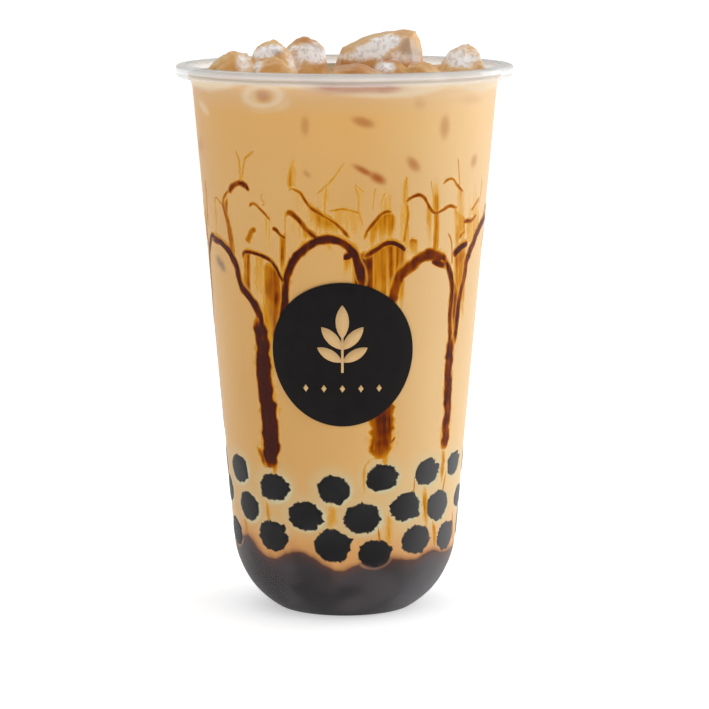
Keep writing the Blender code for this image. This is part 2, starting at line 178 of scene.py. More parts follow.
# Thick syrup strokes: width at the start and the end in mm, strength, pixels of the path
THICK_STROKES = (
    (1.6, 1.7, 0.96, ((214, 322), (212, 290), (210, 262), (210, 246), (212, 236), (216, 239))),
    (2.1, 2.5, 1.0, ((212, 238), (219, 241), (229, 251), (236, 265), (239, 278), (243, 289), (249, 297),
                     (255, 305), (260, 318), (263, 340))),
    (4.6, 5.5, 1.16, ((258, 318), (261, 335), (263, 352), (264, 372), (267, 400), (269, 425), (270, 448),
                      (271, 468))),
    (2.2, 2.4, 1.0, ((277, 372), (280, 340), (284, 312), (285, 293), (287, 276), (293, 262), (301, 252),
                     (310, 245), (320, 241), (331, 240), (342, 243), (350, 249), (355, 256), (358, 266),
                     (361, 276), (362, 292))),
    (2.9, 3.0, 0.78, ((384, 340), (388, 318), (392, 300), (397, 281), (404, 272), (412, 265), (421, 258),
                     (431, 255), (440, 259), (447, 266))),
    (2.0, 1.8, 0.86, ((441, 260), (448, 267), (451, 277), (452, 288), (451, 300), (450, 318), (450, 345))),
    (3.0, 1.9, 0.84, ((486, 215), (482, 222), (477, 233), (473, 243), (469, 253), (466, 264), (464, 277),
                      (461, 290), (459, 300), (457, 318), (454, 345))),
    (3.4, 3.6, 0.86, ((451, 335), (449, 360), (448, 385), (447, 415), (445, 438), (443, 449))),
    (5.6, 6.0, 0.75, ((384, 296), (384, 340), (383, 380), (382, 415), (381, 440), (381, 459))),
    (1.5, 1.2, 0.66, ((376, 300), (376, 350), (375, 400), (374, 450))),
    (0.7, 0.6, 0.55, ((390, 330), (391, 380), (391, 420), (390, 446))),
    (0.7, 0.5, 0.6, ((395, 437), (392, 441), (388, 444))),
    (1.1, 1.0, 0.84, ((243, 259), (244, 253), (250, 252), (260, 255), (270, 260), (276, 268), (280, 276),
                      (284, 284))),
    (1.6, 1.2, 0.95, ((363, 258), (370, 254), (377, 249), (385, 244), (392, 243), (400, 246), (405, 251))),
    (1.9, 1.9, 1.0, ((343, 257), (347, 257), (353, 252))),
    (1.8, 1.4, 0.95, ((432, 260), (438, 264), (444, 266))),
    (1.9, 1.6, 0.96, ((453, 256), (457, 251), (461, 247), (467, 243))),
    (1.5, 2.6, 0.5, ((227, 197), (226, 205), (226, 213), (228, 222), (230, 232), (231, 244), (233, 256))),
)

# Thin syrup strokes above the arches, in the same form
THIN_STROKES = (
    (0.4, 0.5, 0.36, ((235, 150), (239, 160), (240, 175), (240, 183))),
    (0.6, 0.5, 0.34, ((254, 151), (249, 155), (245, 159), (243, 170), (241, 180))),
    (1.5, 1.3, 0.84, ((229, 193), (232, 187), (236, 184), (240, 183), (245, 185), (249, 191))),
    (0.9, 1.3, 0.62, ((231, 189), (226, 194), (223, 202), (225, 213), (228, 222), (229, 232), (231, 244),
                      (233, 256))),
    (0.35, 0.5, 0.5, ((214, 202), (216, 197), (220, 202), (224, 207))),
    (0.3, 0.4, 0.28, ((215, 199), (216, 216), (216, 236))),
    (0.8, 0.6, 0.5, ((205, 180), (206, 190), (207, 206), (208, 226))),
    (0.7, 0.7, 0.62, ((249, 207), (251, 204), (255, 204), (259, 208), (265, 214), (270, 220))),
    (0.5, 0.4, 0.3, ((262, 193), (261, 198), (264, 203), (262, 206))),
    (1.5, 2.2, 0.58, ((256, 229), (252, 231), (250, 236), (247, 242))),
    (0.9, 0.8, 0.74, ((272, 228), (276, 230), (280, 235), (286, 238))),
    (0.4, 0.4, 0.3, ((285, 210), (285, 224), (285, 240))),
    (1.3, 1.2, 0.82, ((286, 216), (289, 212), (295, 216), (301, 223), (306, 230), (315, 237), (322, 242))),
    (0.8, 0.8, 0.68, ((288, 191), (291, 189), (295, 190), (301, 194), (306, 202), (312, 209), (322, 215),
                      (333, 222), (341, 229), (349, 238))),
    (0.5, 0.4, 0.34, ((344, 163), (336, 175), (327, 185), (317, 194))),
    (0.4, 0.4, 0.3, ((327, 184), (325, 200), (324, 216))),
    (0.6, 0.5, 0.44, ((329, 211), (336, 210), (343, 209), (351, 211), (359, 213))),
    (0.4, 0.4, 0.3, ((354, 184), (358, 197), (359, 212), (363, 226))),
    (0.3, 0.3, 0.26, ((354, 184), (359, 188), (365, 193))),
    (0.4, 0.4, 0.26, ((376, 187), (374, 198), (373, 210))),
    (0.8, 0.9, 0.64, ((364, 240), (367, 232), (374, 223), (380, 216), (386, 212), (392, 212))),
    (0.4, 0.3, 0.28, ((381, 210), (382, 200), (385, 193))),
    (0.4, 0.3, 0.28, ((388, 210), (390, 200), (392, 194))),
    (0.8, 0.8, 0.68, ((404, 204), (407, 201), (411, 198), (419, 195), (425, 199), (430, 208), (436, 213),
                      (443, 210), (450, 206), (457, 208))),
    (0.8, 0.9, 0.5, ((407, 203), (408, 216), (406, 230), (404, 243))),
    (1.2, 1.3, 0.5, ((436, 212), (436, 226), (435, 240), (434, 253))),
    (0.6, 0.7, 0.54, ((443, 184), (447, 180), (453, 179), (458, 186), (463, 192))),
    (0.5, 0.5, 0.5, ((448, 233), (451, 240), (452, 252), (452, 264))),
    (1.0, 0.9, 0.72, ((463, 222), (467, 221), (471, 221), (476, 215))),
    (0.7, 0.6, 0.6, ((459, 238), (462, 234), (465, 231))),
    (0.8, 0.7, 0.56, ((471, 211), (475, 205), (479, 198))),
    (0.4, 0.4, 0.32, ((482, 178), (481, 190), (479, 204))),
    (0.4, 0.4, 0.3, ((458, 158), (459, 172), (460, 190))),
    (1.0, 0.8, 0.55, ((409, 243), (413, 240), (417, 243))),
    (0.5, 0.4, 0.6, ((284, 177), (286, 177))),
    (0.5, 0.4, 0.36, ((407, 176), (406, 188), (404, 203))),
    (0.4, 0.4, 0.3, ((431, 180), (433, 196), (435, 212))),
)

# Thin runs of syrup below the columns and between the pearls
TRICKLES = (
    (2.2, 1.4, 0.7, ((256, 446), (261, 453), (266, 468))),
    (1.4, 1.0, 0.46, ((276, 460), (275, 468), (274, 476))),
    (1.2, 0.9, 0.46, ((266, 500), (268, 512), (269, 524))),
    (2.6, 2.6, 0.3, ((331, 500), (331, 516), (331, 532))),
    (0.8, 0.8, 0.36, ((377, 455), (365, 468), (364, 496))),
    (2.0, 1.6, 0.4, ((384, 452), (385, 458), (385, 466))),
    (0.5, 0.5, 0.55, ((378, 527), (379, 538), (379, 546))),
    (2.2, 2.2, 0.3, ((388, 510), (389, 530), (388, 552))),
    (0.5, 0.4, 0.5, ((414, 478), (414, 486), (413, 495))),
    (0.5, 0.6, 0.6, ((423, 492), (424, 505), (425, 518))),
    (1.8, 2.0, 0.38, ((424, 482), (425, 508), (426, 530))),
    (2.0, 1.2, 0.5, ((443, 446), (443, 460), (441, 484))),
    (0.8, 0.7, 0.5, ((446, 470), (443, 488), (442, 500))),
    (1.2, 1.2, 0.5, ((432, 520), (434, 532), (434, 548))),
    (1.0, 1.0, 0.45, ((452, 510), (452, 524), (452, 540))),
    (1.2, 1.0, 0.4, ((243, 515), (246, 524), (247, 536))),
)

# Amber films with vertical streaks: strength, 1 where one hangs from its top, -1 where it rises from its foot
# and 0 where it is even, then the pixel column with the top and bottom row at places along it
FILMS = (
    (0.15, -1, ((235, 150, 180), (239, 156, 184), (247, 150, 180))),
    (0.16, -1, ((203, 182, 232), (206, 180, 240), (210, 190, 244))),
    (0.16, 1, ((213, 204, 236), (216, 202, 240), (219, 206, 238))),
    (0.22, 1, ((263, 214, 252), (268, 217, 258), (272, 221, 262))),
    (0.50, 0, ((242, 256, 286), (246, 254, 292), (252, 255, 300))),
    (0.24, 1, ((250, 256, 300), (258, 256, 312), (266, 259, 318))),
    (0.52, 0, ((261, 268, 330), (270, 266, 345), (280, 275, 345), (285, 286, 340))),
    (0.36, -1, ((259, 286, 322), (264, 290, 340), (275, 300, 350))),
    (0.60, 1, ((278, 236, 284), (282, 238, 288), (287, 237, 280))),
    (0.16, 1, ((286, 216, 262), (290, 214, 256), (300, 222, 250), (306, 230, 246))),
    (0.44, 1, ((299, 224, 248), (306, 230, 246), (312, 235, 244), (320, 238, 244))),
    (0.34, -1, ((284, 168, 190), (288, 158, 189), (294, 158, 190), (300, 172, 192))),
    (0.14, 1, ((290, 192, 214), (300, 194, 226), (308, 204, 236))),
    (0.30, 1, ((304, 200, 232), (314, 209, 240), (324, 216, 240), (334, 222, 240), (342, 230, 242))),
    (0.12, 1, ((316, 194, 214), (322, 190, 222), (330, 182, 222), (336, 176, 214))),
    (0.28, 1, ((324, 246, 258), (328, 246, 262), (333, 246, 256))),
    (0.12, 1, ((353, 186, 212), (358, 190, 212), (366, 194, 214))),
    (0.20, 1, ((330, 212, 238), (344, 210, 242), (358, 213, 246), (366, 226, 250))),
    (0.34, 1, ((364, 242, 258), (371, 230, 254), (380, 220, 250), (388, 215, 248), (394, 218, 242),
               (399, 228, 238))),
    (0.20, -1, ((378, 192, 216), (386, 188, 213), (395, 194, 214))),
    (0.46, 1, ((365, 256, 300), (374, 252, 320), (385, 246, 334), (394, 245, 328), (402, 248, 310),
               (409, 252, 292))),
    (0.74, 0, ((350, 262, 304), (358, 256, 308), (366, 256, 312), (376, 260, 314))),
    (0.30, 1, ((341, 262, 276), (347, 262, 284), (354, 262, 278))),
    (0.28, -1, ((400, 180, 204), (405, 174, 203), (410, 176, 200))),
    (0.24, 1, ((398, 206, 262), (403, 205, 268), (409, 203, 262))),
    (0.40, 1, ((403, 206, 264), (406, 204, 268), (410, 203, 262))),
    (0.20, 1, ((424, 210, 250), (429, 208, 256), (434, 212, 258))),
    (0.42, 1, ((432, 213, 258), (436, 214, 262), (441, 212, 258))),
    (0.28, -1, ((430, 182, 214), (436, 176, 214), (442, 180, 212))),
    (0.20, 1, ((455, 186, 246), (460, 190, 250), (466, 196, 250))),
    (0.34, 1, ((452, 207, 250), (458, 214, 258), (467, 224, 252))),
    (0.20, -1, ((466, 190, 244), (472, 182, 244), (480, 186, 230))),
    (0.24, 1, ((465, 222, 262), (471, 222, 262), (478, 214, 244))),
    (0.40, 1, ((452, 258, 330), (457, 254, 345), (462, 250, 330), (467, 246, 300))),
    (0.54, 1, ((449, 270, 345), (452, 276, 356), (456, 290, 350), (460, 294, 330))),
    (0.36, 1, ((406, 246, 262), (412, 242, 262), (420, 244, 258))),
)
# How far a stroke's middle stands out from its edges
STROKE_LIFT = 0.1 * MM
# The soft rim under each thick stroke: its width and strength as shares of the stroke's
GLOW_WIDTH = 1.3
GLOW_STRENGTH = 0.42
GLOW_RISE = 0.45 * MM
GLOW_RAGGED = 0.35
THREAD_WIDENING = 1.25
THREAD_RAGGED = 0.3
# How flat a stroke is across, and how much of its length its ends take to fade
THREAD_FORM = (2.4, 0.1)
TRICKLE_FORM = (1.4, 0.35)
GLOW_FORM = (1.8, 0.1)
NARROW_FORM = (4.0, 0.1)
WIDE_FORM = (5.5, 0.1)
# The width in mm from which a thick stroke has the wide form, and what makes all thick strokes darker
WIDE_STROKE = 3.0
STROKE_STRENGTH = 1.04
# First seeds of the noise in the rear films, the soft rims, the threads and the rear threads
REAR_FILM_SEED = 40
GLOW_SEED = 60
THREAD_SEED = 100
REAR_THREAD_SEED = 200
# The finest steps of a stroke along and across, and of a film across and down
RIBBON_STEP = 0.36 * MM
RIBBON_SIDES = 9
FILM_CELL = (0.24 * MM, 1.0 * MM)
FILM_SOFT_SIDE = 2.0 * MM
# How many pixels a film reaches up under its stroke
FILM_TUCK = 5.0

# Ice sunk in the tea, and pale and grey clouds: middle and half sizes in pixels, turn, strength
SUNKEN_ICE = (
    (263, 96, 8, 5.5, 20, 0.56), (305, 126, 4, 9, 0, 0.4), (363, 122, 11, 4.5, 16, 0.66),
    (445, 127, 4.5, 11, 4, 0.45), (413, 164, 8.5, 5, 52, 0.66), (364, 171, 11, 3.0, 28, 1.0),
    (377, 178, 9, 4.6, 30, 1.0), (307, 174, 5, 2.6, 45, 0.4), (474, 161, 2.8, 6.5, 12, 0.5),
    (201, 145, 3, 7, 0, 0.3), (472, 99, 9, 4, 0, 0.16), (420, 104, 6, 6, 0, 0.2),
    (356, 88, 46, 5.5, 0, 0.8), (330, 87, 16, 5, 0, 0.9), (385, 88, 18, 5, 0, 0.85),
)
SUNKEN_GREY = ((221, 264, 2.6, 8.5, -30, 0.8),)
PALE_CLOUDS = (
    (204, 108, 3, 9, -30, 0.55), (251, 100, 5, 7, 30, 0.4), (283, 105, 10, 5, -30, 0.35),
    (262, 110, 14, 4, 0, 0.25),
)
# The pale ring round a piece of sunken ice: middle and half sizes in pixels
RING = (263, 96, 17, 10)
# The lower edge of the pale foam under the rim
PALE_EDGE = (
    (189, 84), (209, 91), (226, 89), (241, 84), (262, 84), (282, 87), (313, 91), (345, 95), (378, 98),
    (410, 97), (432, 93), (448, 87), (464, 89), (481, 91), (499, 86),
)

# Syrup on the sides and back, where the photograph does not reach: the columns' angles, and the heights of
# the arches' crowns, of their springing and of the columns' feet
REAR_COLUMNS = (107.0, 150.0, 205.0, 268.0)
REAR_CROWNS = (108.0 * MM, 106.0 * MM, 110.0 * MM)
REAR_SPRINGING = 88.0 * MM
REAR_FOOT = 49.0 * MM
# The pixel from which an arch leads round to the first of these columns
BRIDGE_START = (486, 215)
# An arch's leg: how far it leans in, in degrees, and its height
REAR_LEG = ((0.0, REAR_FOOT + 20.0 * MM), (0.5, REAR_SPRINGING - 12.0 * MM), (2.0, REAR_SPRINGING))
REAR_ARCH_STEPS = 8
REAR_ARCH_WIDTH = 2.4
# How many threads, films and smudges lie there, and the ranges of their heights and lengths in mm
REAR_THREADS = 26
REAR_FILMS = 18
REAR_SMUDGES = 9
REAR_SEED = 23
REAR_THREAD_TOPS = (104.0, 124.0)
REAR_FILM_TOPS = (106.0, 124.0)
REAR_FILM_LENGTHS = (14.0, 30.0)
REAR_FILM_STRENGTHS = (0.2, 0.5)
REAR_SMUDGE_HEIGHTS = (118.0, 142.0)

# Ice above the drink, as the part has it: half sizes in mm, turn, tilt, roundness, slope of the top, how much
# it narrows and how far its peak lies along it, then how white and how brown its hidden sides are
ICE_PIECES = {
    "ice_left": ((8.0, 8.2, 11.0), 20, -8, 0.62, 0.12, 0.25, 0.0, 0.3, 0.1),
    "ice_left_tall": ((7.9, 7.8, 12.5), -10, 4, 0.62, 0.0, 0.36, -0.1, 0.35, 0.1),
    "ice_left_front": ((8.2, 7.2, 10.0), 8, 0, 0.62, 0.0, 0.35, 0.05, 0.0, 0.1),
    "ice_middle_back": ((7.3, 7.2, 12.5), 15, 5, 0.85, 0.0, 0.15, 0.05, 0.7, 0.2),
    "ice_large": ((12.9, 8.6, 12.5), -6, 0, 0.5, 0.2, 0.05, 0.05, 0.5, 0.1),
    "ice_front": ((9.6, 8.2, 9.0), 4, 3, 0.62, -0.05, 0.2, 0.0, 0.0, 1.0),
    "ice_small": ((6.0, 5.6, 9.0), 30, 6, 0.62, 0.0, 0.3, 0.1, 0.2, 0.4),
    "ice_right_front": ((7.2, 7.6, 9.0), -20, 5, 0.62, -0.1, 0.35, -0.2, 0.0, 0.3),
    "ice_right": ((8.2, 9.0, 12.0), 5, 0, 0.62, 0.0, 0.48, 0.24, 0.5, 0.1),
    "ice_back": ((8.6, 7.0, 9.5), -8, 0, 0.62, 0.0, 0.3, -0.1, 0.5, 0.1),
    "ice_right_back": ((6.6, 6.4, 8.5), 25, 0, 0.62, 0.0, 0.3, 0.1, 0.4, 0.2),
}
ICE_CUTS = 25
ICE_BALL = 1.12
ICE_UNEVENNESS = 0.07
ICE_PEAK_CURVE = 1.1
ICE_DENTS = ((2.6, 0.04), (6.0, 0.016))
# Patches seen on the ice: middle and half sizes in pixels, turn, strength
ICE_WHITE = (
    (244, 62, 8, 9, 0, 0.6), (267, 52, 15, 5, -14, 1.3), (293, 62, 5, 10, -30, 0.6), (312, 53, 20, 9, 0, 1.2),
    (376, 47, 26, 8.5, -20, 1.2), (362, 56, 22, 3.5, 0, 0.8), (404, 57, 16, 5, 10, 0.6),
    (386, 67, 10, 5, 0, 1.1), (462, 58, 20, 9, 0, 0.8), (463, 48, 8, 3, -20, 0.5), (258, 66, 5, 6, 0, 0.7),
)
ICE_VIOLET = (
    (408, 47, 9, 9, 30, 0.6), (415, 54, 5, 8, 0, 0.7), (318, 48, 9, 3, 35, 0.5), (277, 52, 6, 3, 10, 0.7),
)
ICE_BROWN = (
    (350, 67, 32, 7, 5, 1.0), (392, 61, 12, 4, 8, 1.0), (309, 40, 18, 4, 0, 0.75), (406, 35, 12, 5, 10, 0.3),
    (421, 64, 18, 8, 0, 0.35), (272, 62, 16, 8, 0, 0.2),
)

# Colours as a screen shows them; the masks' tones are laid over in this order
TEA_TONES = ((212, 163, 97), (220, 173, 107))
TEA_MASKS = {
    # The pale cream tone is light painted on the tea's right side and on its shaded top
    "high": (224, 173, 102), "painted_right_light": (240, 212, 166), "warm": (214, 150, 90), "halo": (206, 196, 156),
    "pale": (232, 208, 170), "spot": (172, 92, 30), "grey": (112, 88, 76), "stain": (118, 70, 48),
}
SYRUP_TONES = (
    (0.0, (232, 186, 100)), (0.2, (218, 158, 46)), (0.4, (198, 128, 10)), (0.56, (172, 94, 0)),
    (0.72, (136, 60, 0)), (0.86, (98, 34, 4)), (1.0, (66, 26, 20)),
)
LAYER_TONES = ((36, 32, 34), (64, 58, 62))
LAYER_SPECK = (122, 114, 116)
PEARL_TONES = ((29, 28, 29), (42, 41, 42))
# Grey of the sheen painted on dark things
PAINTED_SHEEN_GREY = (88, 87, 90)
# On the dark layer: painted sheen at the right, painted shade at its foot and lower left, rust at its edge,
# tan arcs
LAYER_MASKS = {"painted_sheen": PAINTED_SHEEN_GREY, "foot": (24, 20, 20), "rust": (96, 58, 44), "tan": (176, 124, 88)}
PRINT_TONES = ((22, 20, 20), (32, 29, 29))
MOTIF_TONES = ((204, 162, 108), (224, 188, 136))
ICE_TAN = ((228, 172, 100), (242, 202, 142))
ICE_CLOUD = ((218, 213, 210), (255, 255, 255))
ICE_CROWN = (208, 146, 84)
ICE_GREY = (184, 172, 166)
# Painted glow of the ice's white patches, as though lit from behind
ICE_PAINTED_GLOW = 0.14
# Strength of the light painted on the tea's right side
RIGHT_LIGHT_SHARE = 0.44
# Colours as shaders take them
BLACK = (0.0, 0.0, 0.0, 1.0)
WHITE = (1.0, 1.0, 1.0, 1.0)
CLEAR_PLASTIC = (0.99, 0.99, 0.985, 1.0)
MILKY_TONES = ((0.72, 0.73, 0.72, 1.0), (0.95, 0.95, 0.94, 1.0))
FLOOR_GREY = (0.95, 0.95, 0.95, 1.0)
# The world's light: level, then the shares at the left, at the right, in front, behind and overhead
WORLD_LEVEL = 0.62
WORLD_SIDES = (0.3, 1.0)
WORLD_DEPTH = (0.78, 1.4)
WORLD_ZENITH = 1.3
FLOOR_GLOW = 0.48
FLOOR_HALF = 14.0
# Lights: name, place, power and size
LIGHTS = (
    ("key_light", (1.15, -0.7, 0.6), 2.8, 0.9),
    ("fill_light", (-1.0, -0.8, 0.4), 1.8, 0.9),
    ("side_light", (1.2, 0.6, 0.3), 4.2, 0.6),
    ("back_light", (-0.3, 0.8, 0.9), 0.8, 0.6),
)
LIGHT_AIM = (0.0, 0.0, 0.09)

# Round print and its plain sprig
PRINT_RADIUS = 20.2 * MM
PRINT_HEIGHT = 77.3 * MM
PRINT_ANGLE = -1.0
PRINT_LIFT = 0.05 * MM
PRINT_THICKNESS = 0.06 * MM
PRINT_SIDES = 160
MOTIF_LIFT = 0.03 * MM
MOTIF_DEPTH = 0.05 * MM
# Leaves of the sprig: height of the foot, turn, length and width in mm
SPRIG_LEAVES = (
    (4.5, 90.0, 9.5, 3.6), (1.5, 48.0, 8.5, 3.2), (1.5, 132.0, 8.5, 3.2), (-2.0, 30.0, 8.0, 3.0),
    (-2.0, 150.0, 8.0, 3.0),
)
SPRIG_STEM = (-5.0 * MM, 5.0 * MM)
SPRIG_STEM_WIDTH = 0.7 * MM
LOZENGE_COUNT = 5
LOZENGE_STEP = 5.2 * MM
LOZENGE_SIZE = 0.75 * MM
LOZENGE_TALLER = 1.4
LOZENGE_LEVEL = -9.5 * MM


def around(radius, angle, height):
    """Give the points at angles from the front, radii and heights."""
    turn = np.radians(angle)
    parts = np.broadcast_arrays(radius * np.sin(turn), -radius * np.cos(turn), height)
    return np.stack(parts, axis=-1)


def corner_middle():
    """Give the radius and height of the middle of the corner's arc."""
    lean = math.atan(WALL_SLOPE)
    tangent_radius = WALL_TOP_RADIUS - WALL_SLOPE * (CUP_HEIGHT - CORNER_TOP)
    return tangent_radius - CORNER_RADIUS * math.cos(lean), CORNER_TOP + CORNER_RADIUS * math.sin(lean)


def wall_radius(height, inset=0.0):
    """Give the radius of the cup's outer form at heights, moved in by the inset."""
    height = np.asarray(height, float)
    straight = WALL_TOP_RADIUS - WALL_SLOPE * (CUP_HEIGHT - height) - inset / math.cos(math.atan(WALL_SLOPE))
    middle_radius, middle_height = corner_middle()
    reach = CORNER_RADIUS - inset
    below = np.clip(reach ** 2 - (height - middle_height) ** 2, 0.0, None)
    return np.where(height >= CORNER_TOP, straight, middle_radius + np.sqrt(below))


def wall_place(column, row, inset=STROKE_INSET):
    """Carry a pixel of the photograph onto the cup's wall, as an angle and a height."""
    across = (column - AXIS_COLUMN) / FOCAL_PIXELS
    upward = (FRAME_PIXELS / 2.0 - row) / FOCAL_PIXELS
    pitch = math.radians(CAMERA_PITCH)
    forward = math.cos(pitch) + upward * math.sin(pitch)
    rise = upward * math.cos(pitch) - math.sin(pitch)
    cone_radius = float(WALL_TOP_RADIUS - WALL_SLOPE * (CUP_HEIGHT - CAMERA_HEIGHT) - inset)
    square = across ** 2 + forward ** 2 - (WALL_SLOPE * rise) ** 2
    linear = CAMERA_DISTANCE * forward + WALL_SLOPE * rise * cone_radius
    constant = CAMERA_DISTANCE ** 2 - cone_radius ** 2
    reach = (linear - math.sqrt(max(linear ** 2 - square * constant, 0.0))) / square
    angle = math.degrees(math.atan2(across * reach, CAMERA_DISTANCE - forward * reach))
    return angle, CAMERA_HEIGHT + rise * reach


def photo_place(points):
    """Carry points onto the photograph, as columns and rows of pixels."""
    away = points - np.array([0.0, -CAMERA_DISTANCE, CAMERA_HEIGHT])
    pitch = math.radians(CAMERA_PITCH)
    forward = away[..., 1] * math.cos(pitch) - away[..., 2] * math.sin(pitch)
    upward = away[..., 1] * math.sin(pitch) + away[..., 2] * math.cos(pitch)
    columns = AXIS_COLUMN + FOCAL_PIXELS * away[..., 0] / forward
    rows = FRAME_PIXELS / 2.0 - FOCAL_PIXELS * upward / forward
    return columns, rows


def pixel_patches(points, patches, ragged=0.0, softness=0.4):
    """Give a mask of soft round patches, each with its middle and half sizes in pixels."""
    columns, rows = photo_place(points)
    mask = np.zeros(columns.shape)
    for column, row, half_width, half_height, turn, strength in patches:
        spin = math.radians(turn)
        x = (columns - column) * math.cos(spin) + (rows - row) * math.sin(spin)
        y = (rows - row) * math.cos(spin) - (columns - column) * math.sin(spin)
        reach = np.hypot(x / half_width, y / half_height) + ragged
        mask = np.maximum(mask, strength * (1.0 - smooth_step(reach, 0.95 - softness, 0.95 + softness)))
    return mask


def smooth_step(values, low, high):
    """Ease from 0 at low to 1 at high."""
    share = np.clip((values - low) / (high - low), 0.0, 1.0)
    return share * share * (3.0 - 2.0 * share)


def noise_at(points, scale, offset=0.0):
    """Give smooth noise, about -1 to 1, at each point."""
    shift = Vector((offset, 1.7 * offset, -offset))
    flat = np.reshape(points, (-1, 3)) * scale
    values = [noise.noise(Vector(place) + shift) for place in flat]
    return np.reshape(values, np.shape(points)[:-1])


def grid_faces(rows, columns, closed=False, start=0):
    """List the four-sided faces of a grid of points, facing out where rows go up and columns go round."""
    last = columns if closed else columns - 1
    row, column = np.meshgrid(np.arange(rows - 1), np.arange(last), indexing="ij")
    following = (column + 1) % columns
    corners = (row * columns + column, row * columns + following)
    corners += ((row + 1) * columns + following, (row + 1) * columns + column)
    return (np.stack(corners, axis=-1).reshape(-1, 4) + start).tolist()


def capped_faces(rows, columns):
    """List a turned body's faces: its grid, and fans to the two points on the axis that follow the grid's."""
    faces = grid_faces(rows, columns, closed=True)
    count = rows * columns
    for column in range(columns):
        following = (column + 1) % columns
        faces.append([count, following, column])
        faces.append([count + 1, count - columns + column, count - columns + following])
    return faces


def with_ends(points, bottom, top):
    """Put the two points on the axis after a turned body's own points."""
    return np.concatenate([points.reshape(-1, 3), [(0.0, 0.0, bottom), (0.0, 0.0, top)]])


def add_object(name, data):
    """Make an object and put it in the scene."""
    thing = bpy.data.objects.new(name, data)
    bpy.context.scene.collection.objects.link(thing)
    return thing


def add_piece(name, points, faces, material, masks=None, sheer=False):
    """Make a smooth mesh piece that rides on the part, with a value at each point for each mask.

    A sheer piece lets light through to what it lies on: it casts no shadow there.
    """
    mesh = bpy.data.meshes.new(name)
    mesh.from_pydata(np.reshape(points, (-1, 3)).tolist(), [], faces)
    mesh.shade_smooth()
    for label, values in (masks or {}).items():
        attribute = mesh.attributes.new(label, "FLOAT", "POINT")
        attribute.data.foreach_set("value", np.ravel(values).astype(np.float32))
    mesh.materials.append(material)
    piece = add_object(name, mesh)
    piece.visible_shadow = not sheer
    piece.visible_diffuse = not sheer
    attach(piece, "root")
    return piece


def add_syrup(name, sheets, material):
    """Join sheets of syrup, each with its points, faces and a thickness at each point, into a sheer piece."""
    points, faces, thickness = [], [], []
    count = 0
    for sheet_points, sheet_faces, sheet_thickness in sheets:
        flat = np.reshape(sheet_points, (-1, 3))
        points.append(flat)
        faces += [[corner + count for corner in face] for face in sheet_faces]
        thickness.append(np.ravel(sheet_thickness))
        count += len(flat)
    masks = {"thickness": np.concatenate(thickness)}
    add_piece(name, np.concatenate(points), faces, material, masks, sheer=True)


def linear_colour(screen_colour):
    """Turn a colour as a screen shows it, 0 to 255, into the linear form that shaders take."""
    parts = []
    for part in screen_colour:
        share = part / 255.0
        parts.append(share / 12.92 if share <= 0.04045 else ((share + 0.055) / 1.055) ** 2.4)
    return (*parts, 1.0)


def new_material(name):
    """Make a material without any nodes, and give it with its node tree."""
    material = bpy.data.materials.new(name)
    material.use_nodes = True
    material.node_tree.nodes.clear()
    return material, material.node_tree


def add_node(tree, kind, values=None, **settings):
    """Add a node, set what it is told, and link the values that are other nodes' outputs."""
    node = tree.nodes.new(f"ShaderNode{kind}")
    for setting, value in settings.items():
        setattr(node, setting, value)
    for socket, value in (values or {}).items():
        if isinstance(value, bpy.types.NodeSocket):
            tree.links.new(value, node.inputs[socket])
        else:
            node.inputs[socket].default_value = value
    return node


def mask_value(tree, label):
    """Read a piece's mask."""
    return add_node(tree, "Attribute", attribute_name=label).outputs["Fac"]


def calculate(tree, operation, first, second, clamp=False):
    """Add a sum, product or power of two values."""
    return add_node(tree, "Math", {0: first, 1: second}, operation=operation, use_clamp=clamp).outputs[0]


def blend_colours(tree, factor, first, second):
    """Mix two colours by a factor. A colour of three numbers is one that a screen shows."""
    values = {0: factor}
    for socket, colour in ((6, first), (7, second)):
        from_screen = isinstance(colour, tuple) and len(colour) == 3
        values[socket] = linear_colour(colour) if from_screen else colour
    return add_node(tree, "Mix", values, data_type="RGBA").outputs[2]


def lay_masks(tree, colour, tones):
    """Lay a tone over a colour for each mask in turn."""
    for label, tone in tones.items():
        colour = blend_colours(tree, mask_value(tree, label), colour, tone)
    return colour


def noise_texture(tree, scale, detail=3.0, stretch=(1.0, 1.0, 1.0)):
    """Add noise in the object's own space, stretched along the axes whose share is small."""
    place = add_node(tree, "TexCoord").outputs["Object"]
    mapped = add_node(tree, "Mapping", {"Vector": place, "Scale": stretch}).outputs["Vector"]
    values = {"Vector": mapped, "Scale": scale, "Detail": detail}
    return add_node(tree, "TexNoise", values).outputs["Fac"]


def remap(tree, value, low, high, new_low=0.0, new_high=1.0):
    """Ease a value from one range to another."""
    values = {"Value": value, "From Min": low, "From Max": high, "To Min": new_low, "To Max": new_high}
    return add_node(tree, "MapRange", values, interpolation_type="SMOOTHSTEP").outputs["Result"]


def end_material(tree, shader):
    """Link a shader to the material's output."""
    tree.links.new(shader, add_node(tree, "OutputMaterial").inputs["Surface"])


def end_surface(tree, colour, roughness, gloss, more=None):
    """End a material in a surface with a colour, a roughness and a gloss, and with what more is given."""
    values = {"Base Color": colour, "Roughness": roughness, "Specular IOR Level": gloss, **(more or {})}
    end_material(tree, add_node(tree, "BsdfPrincipled", values).outputs[0])


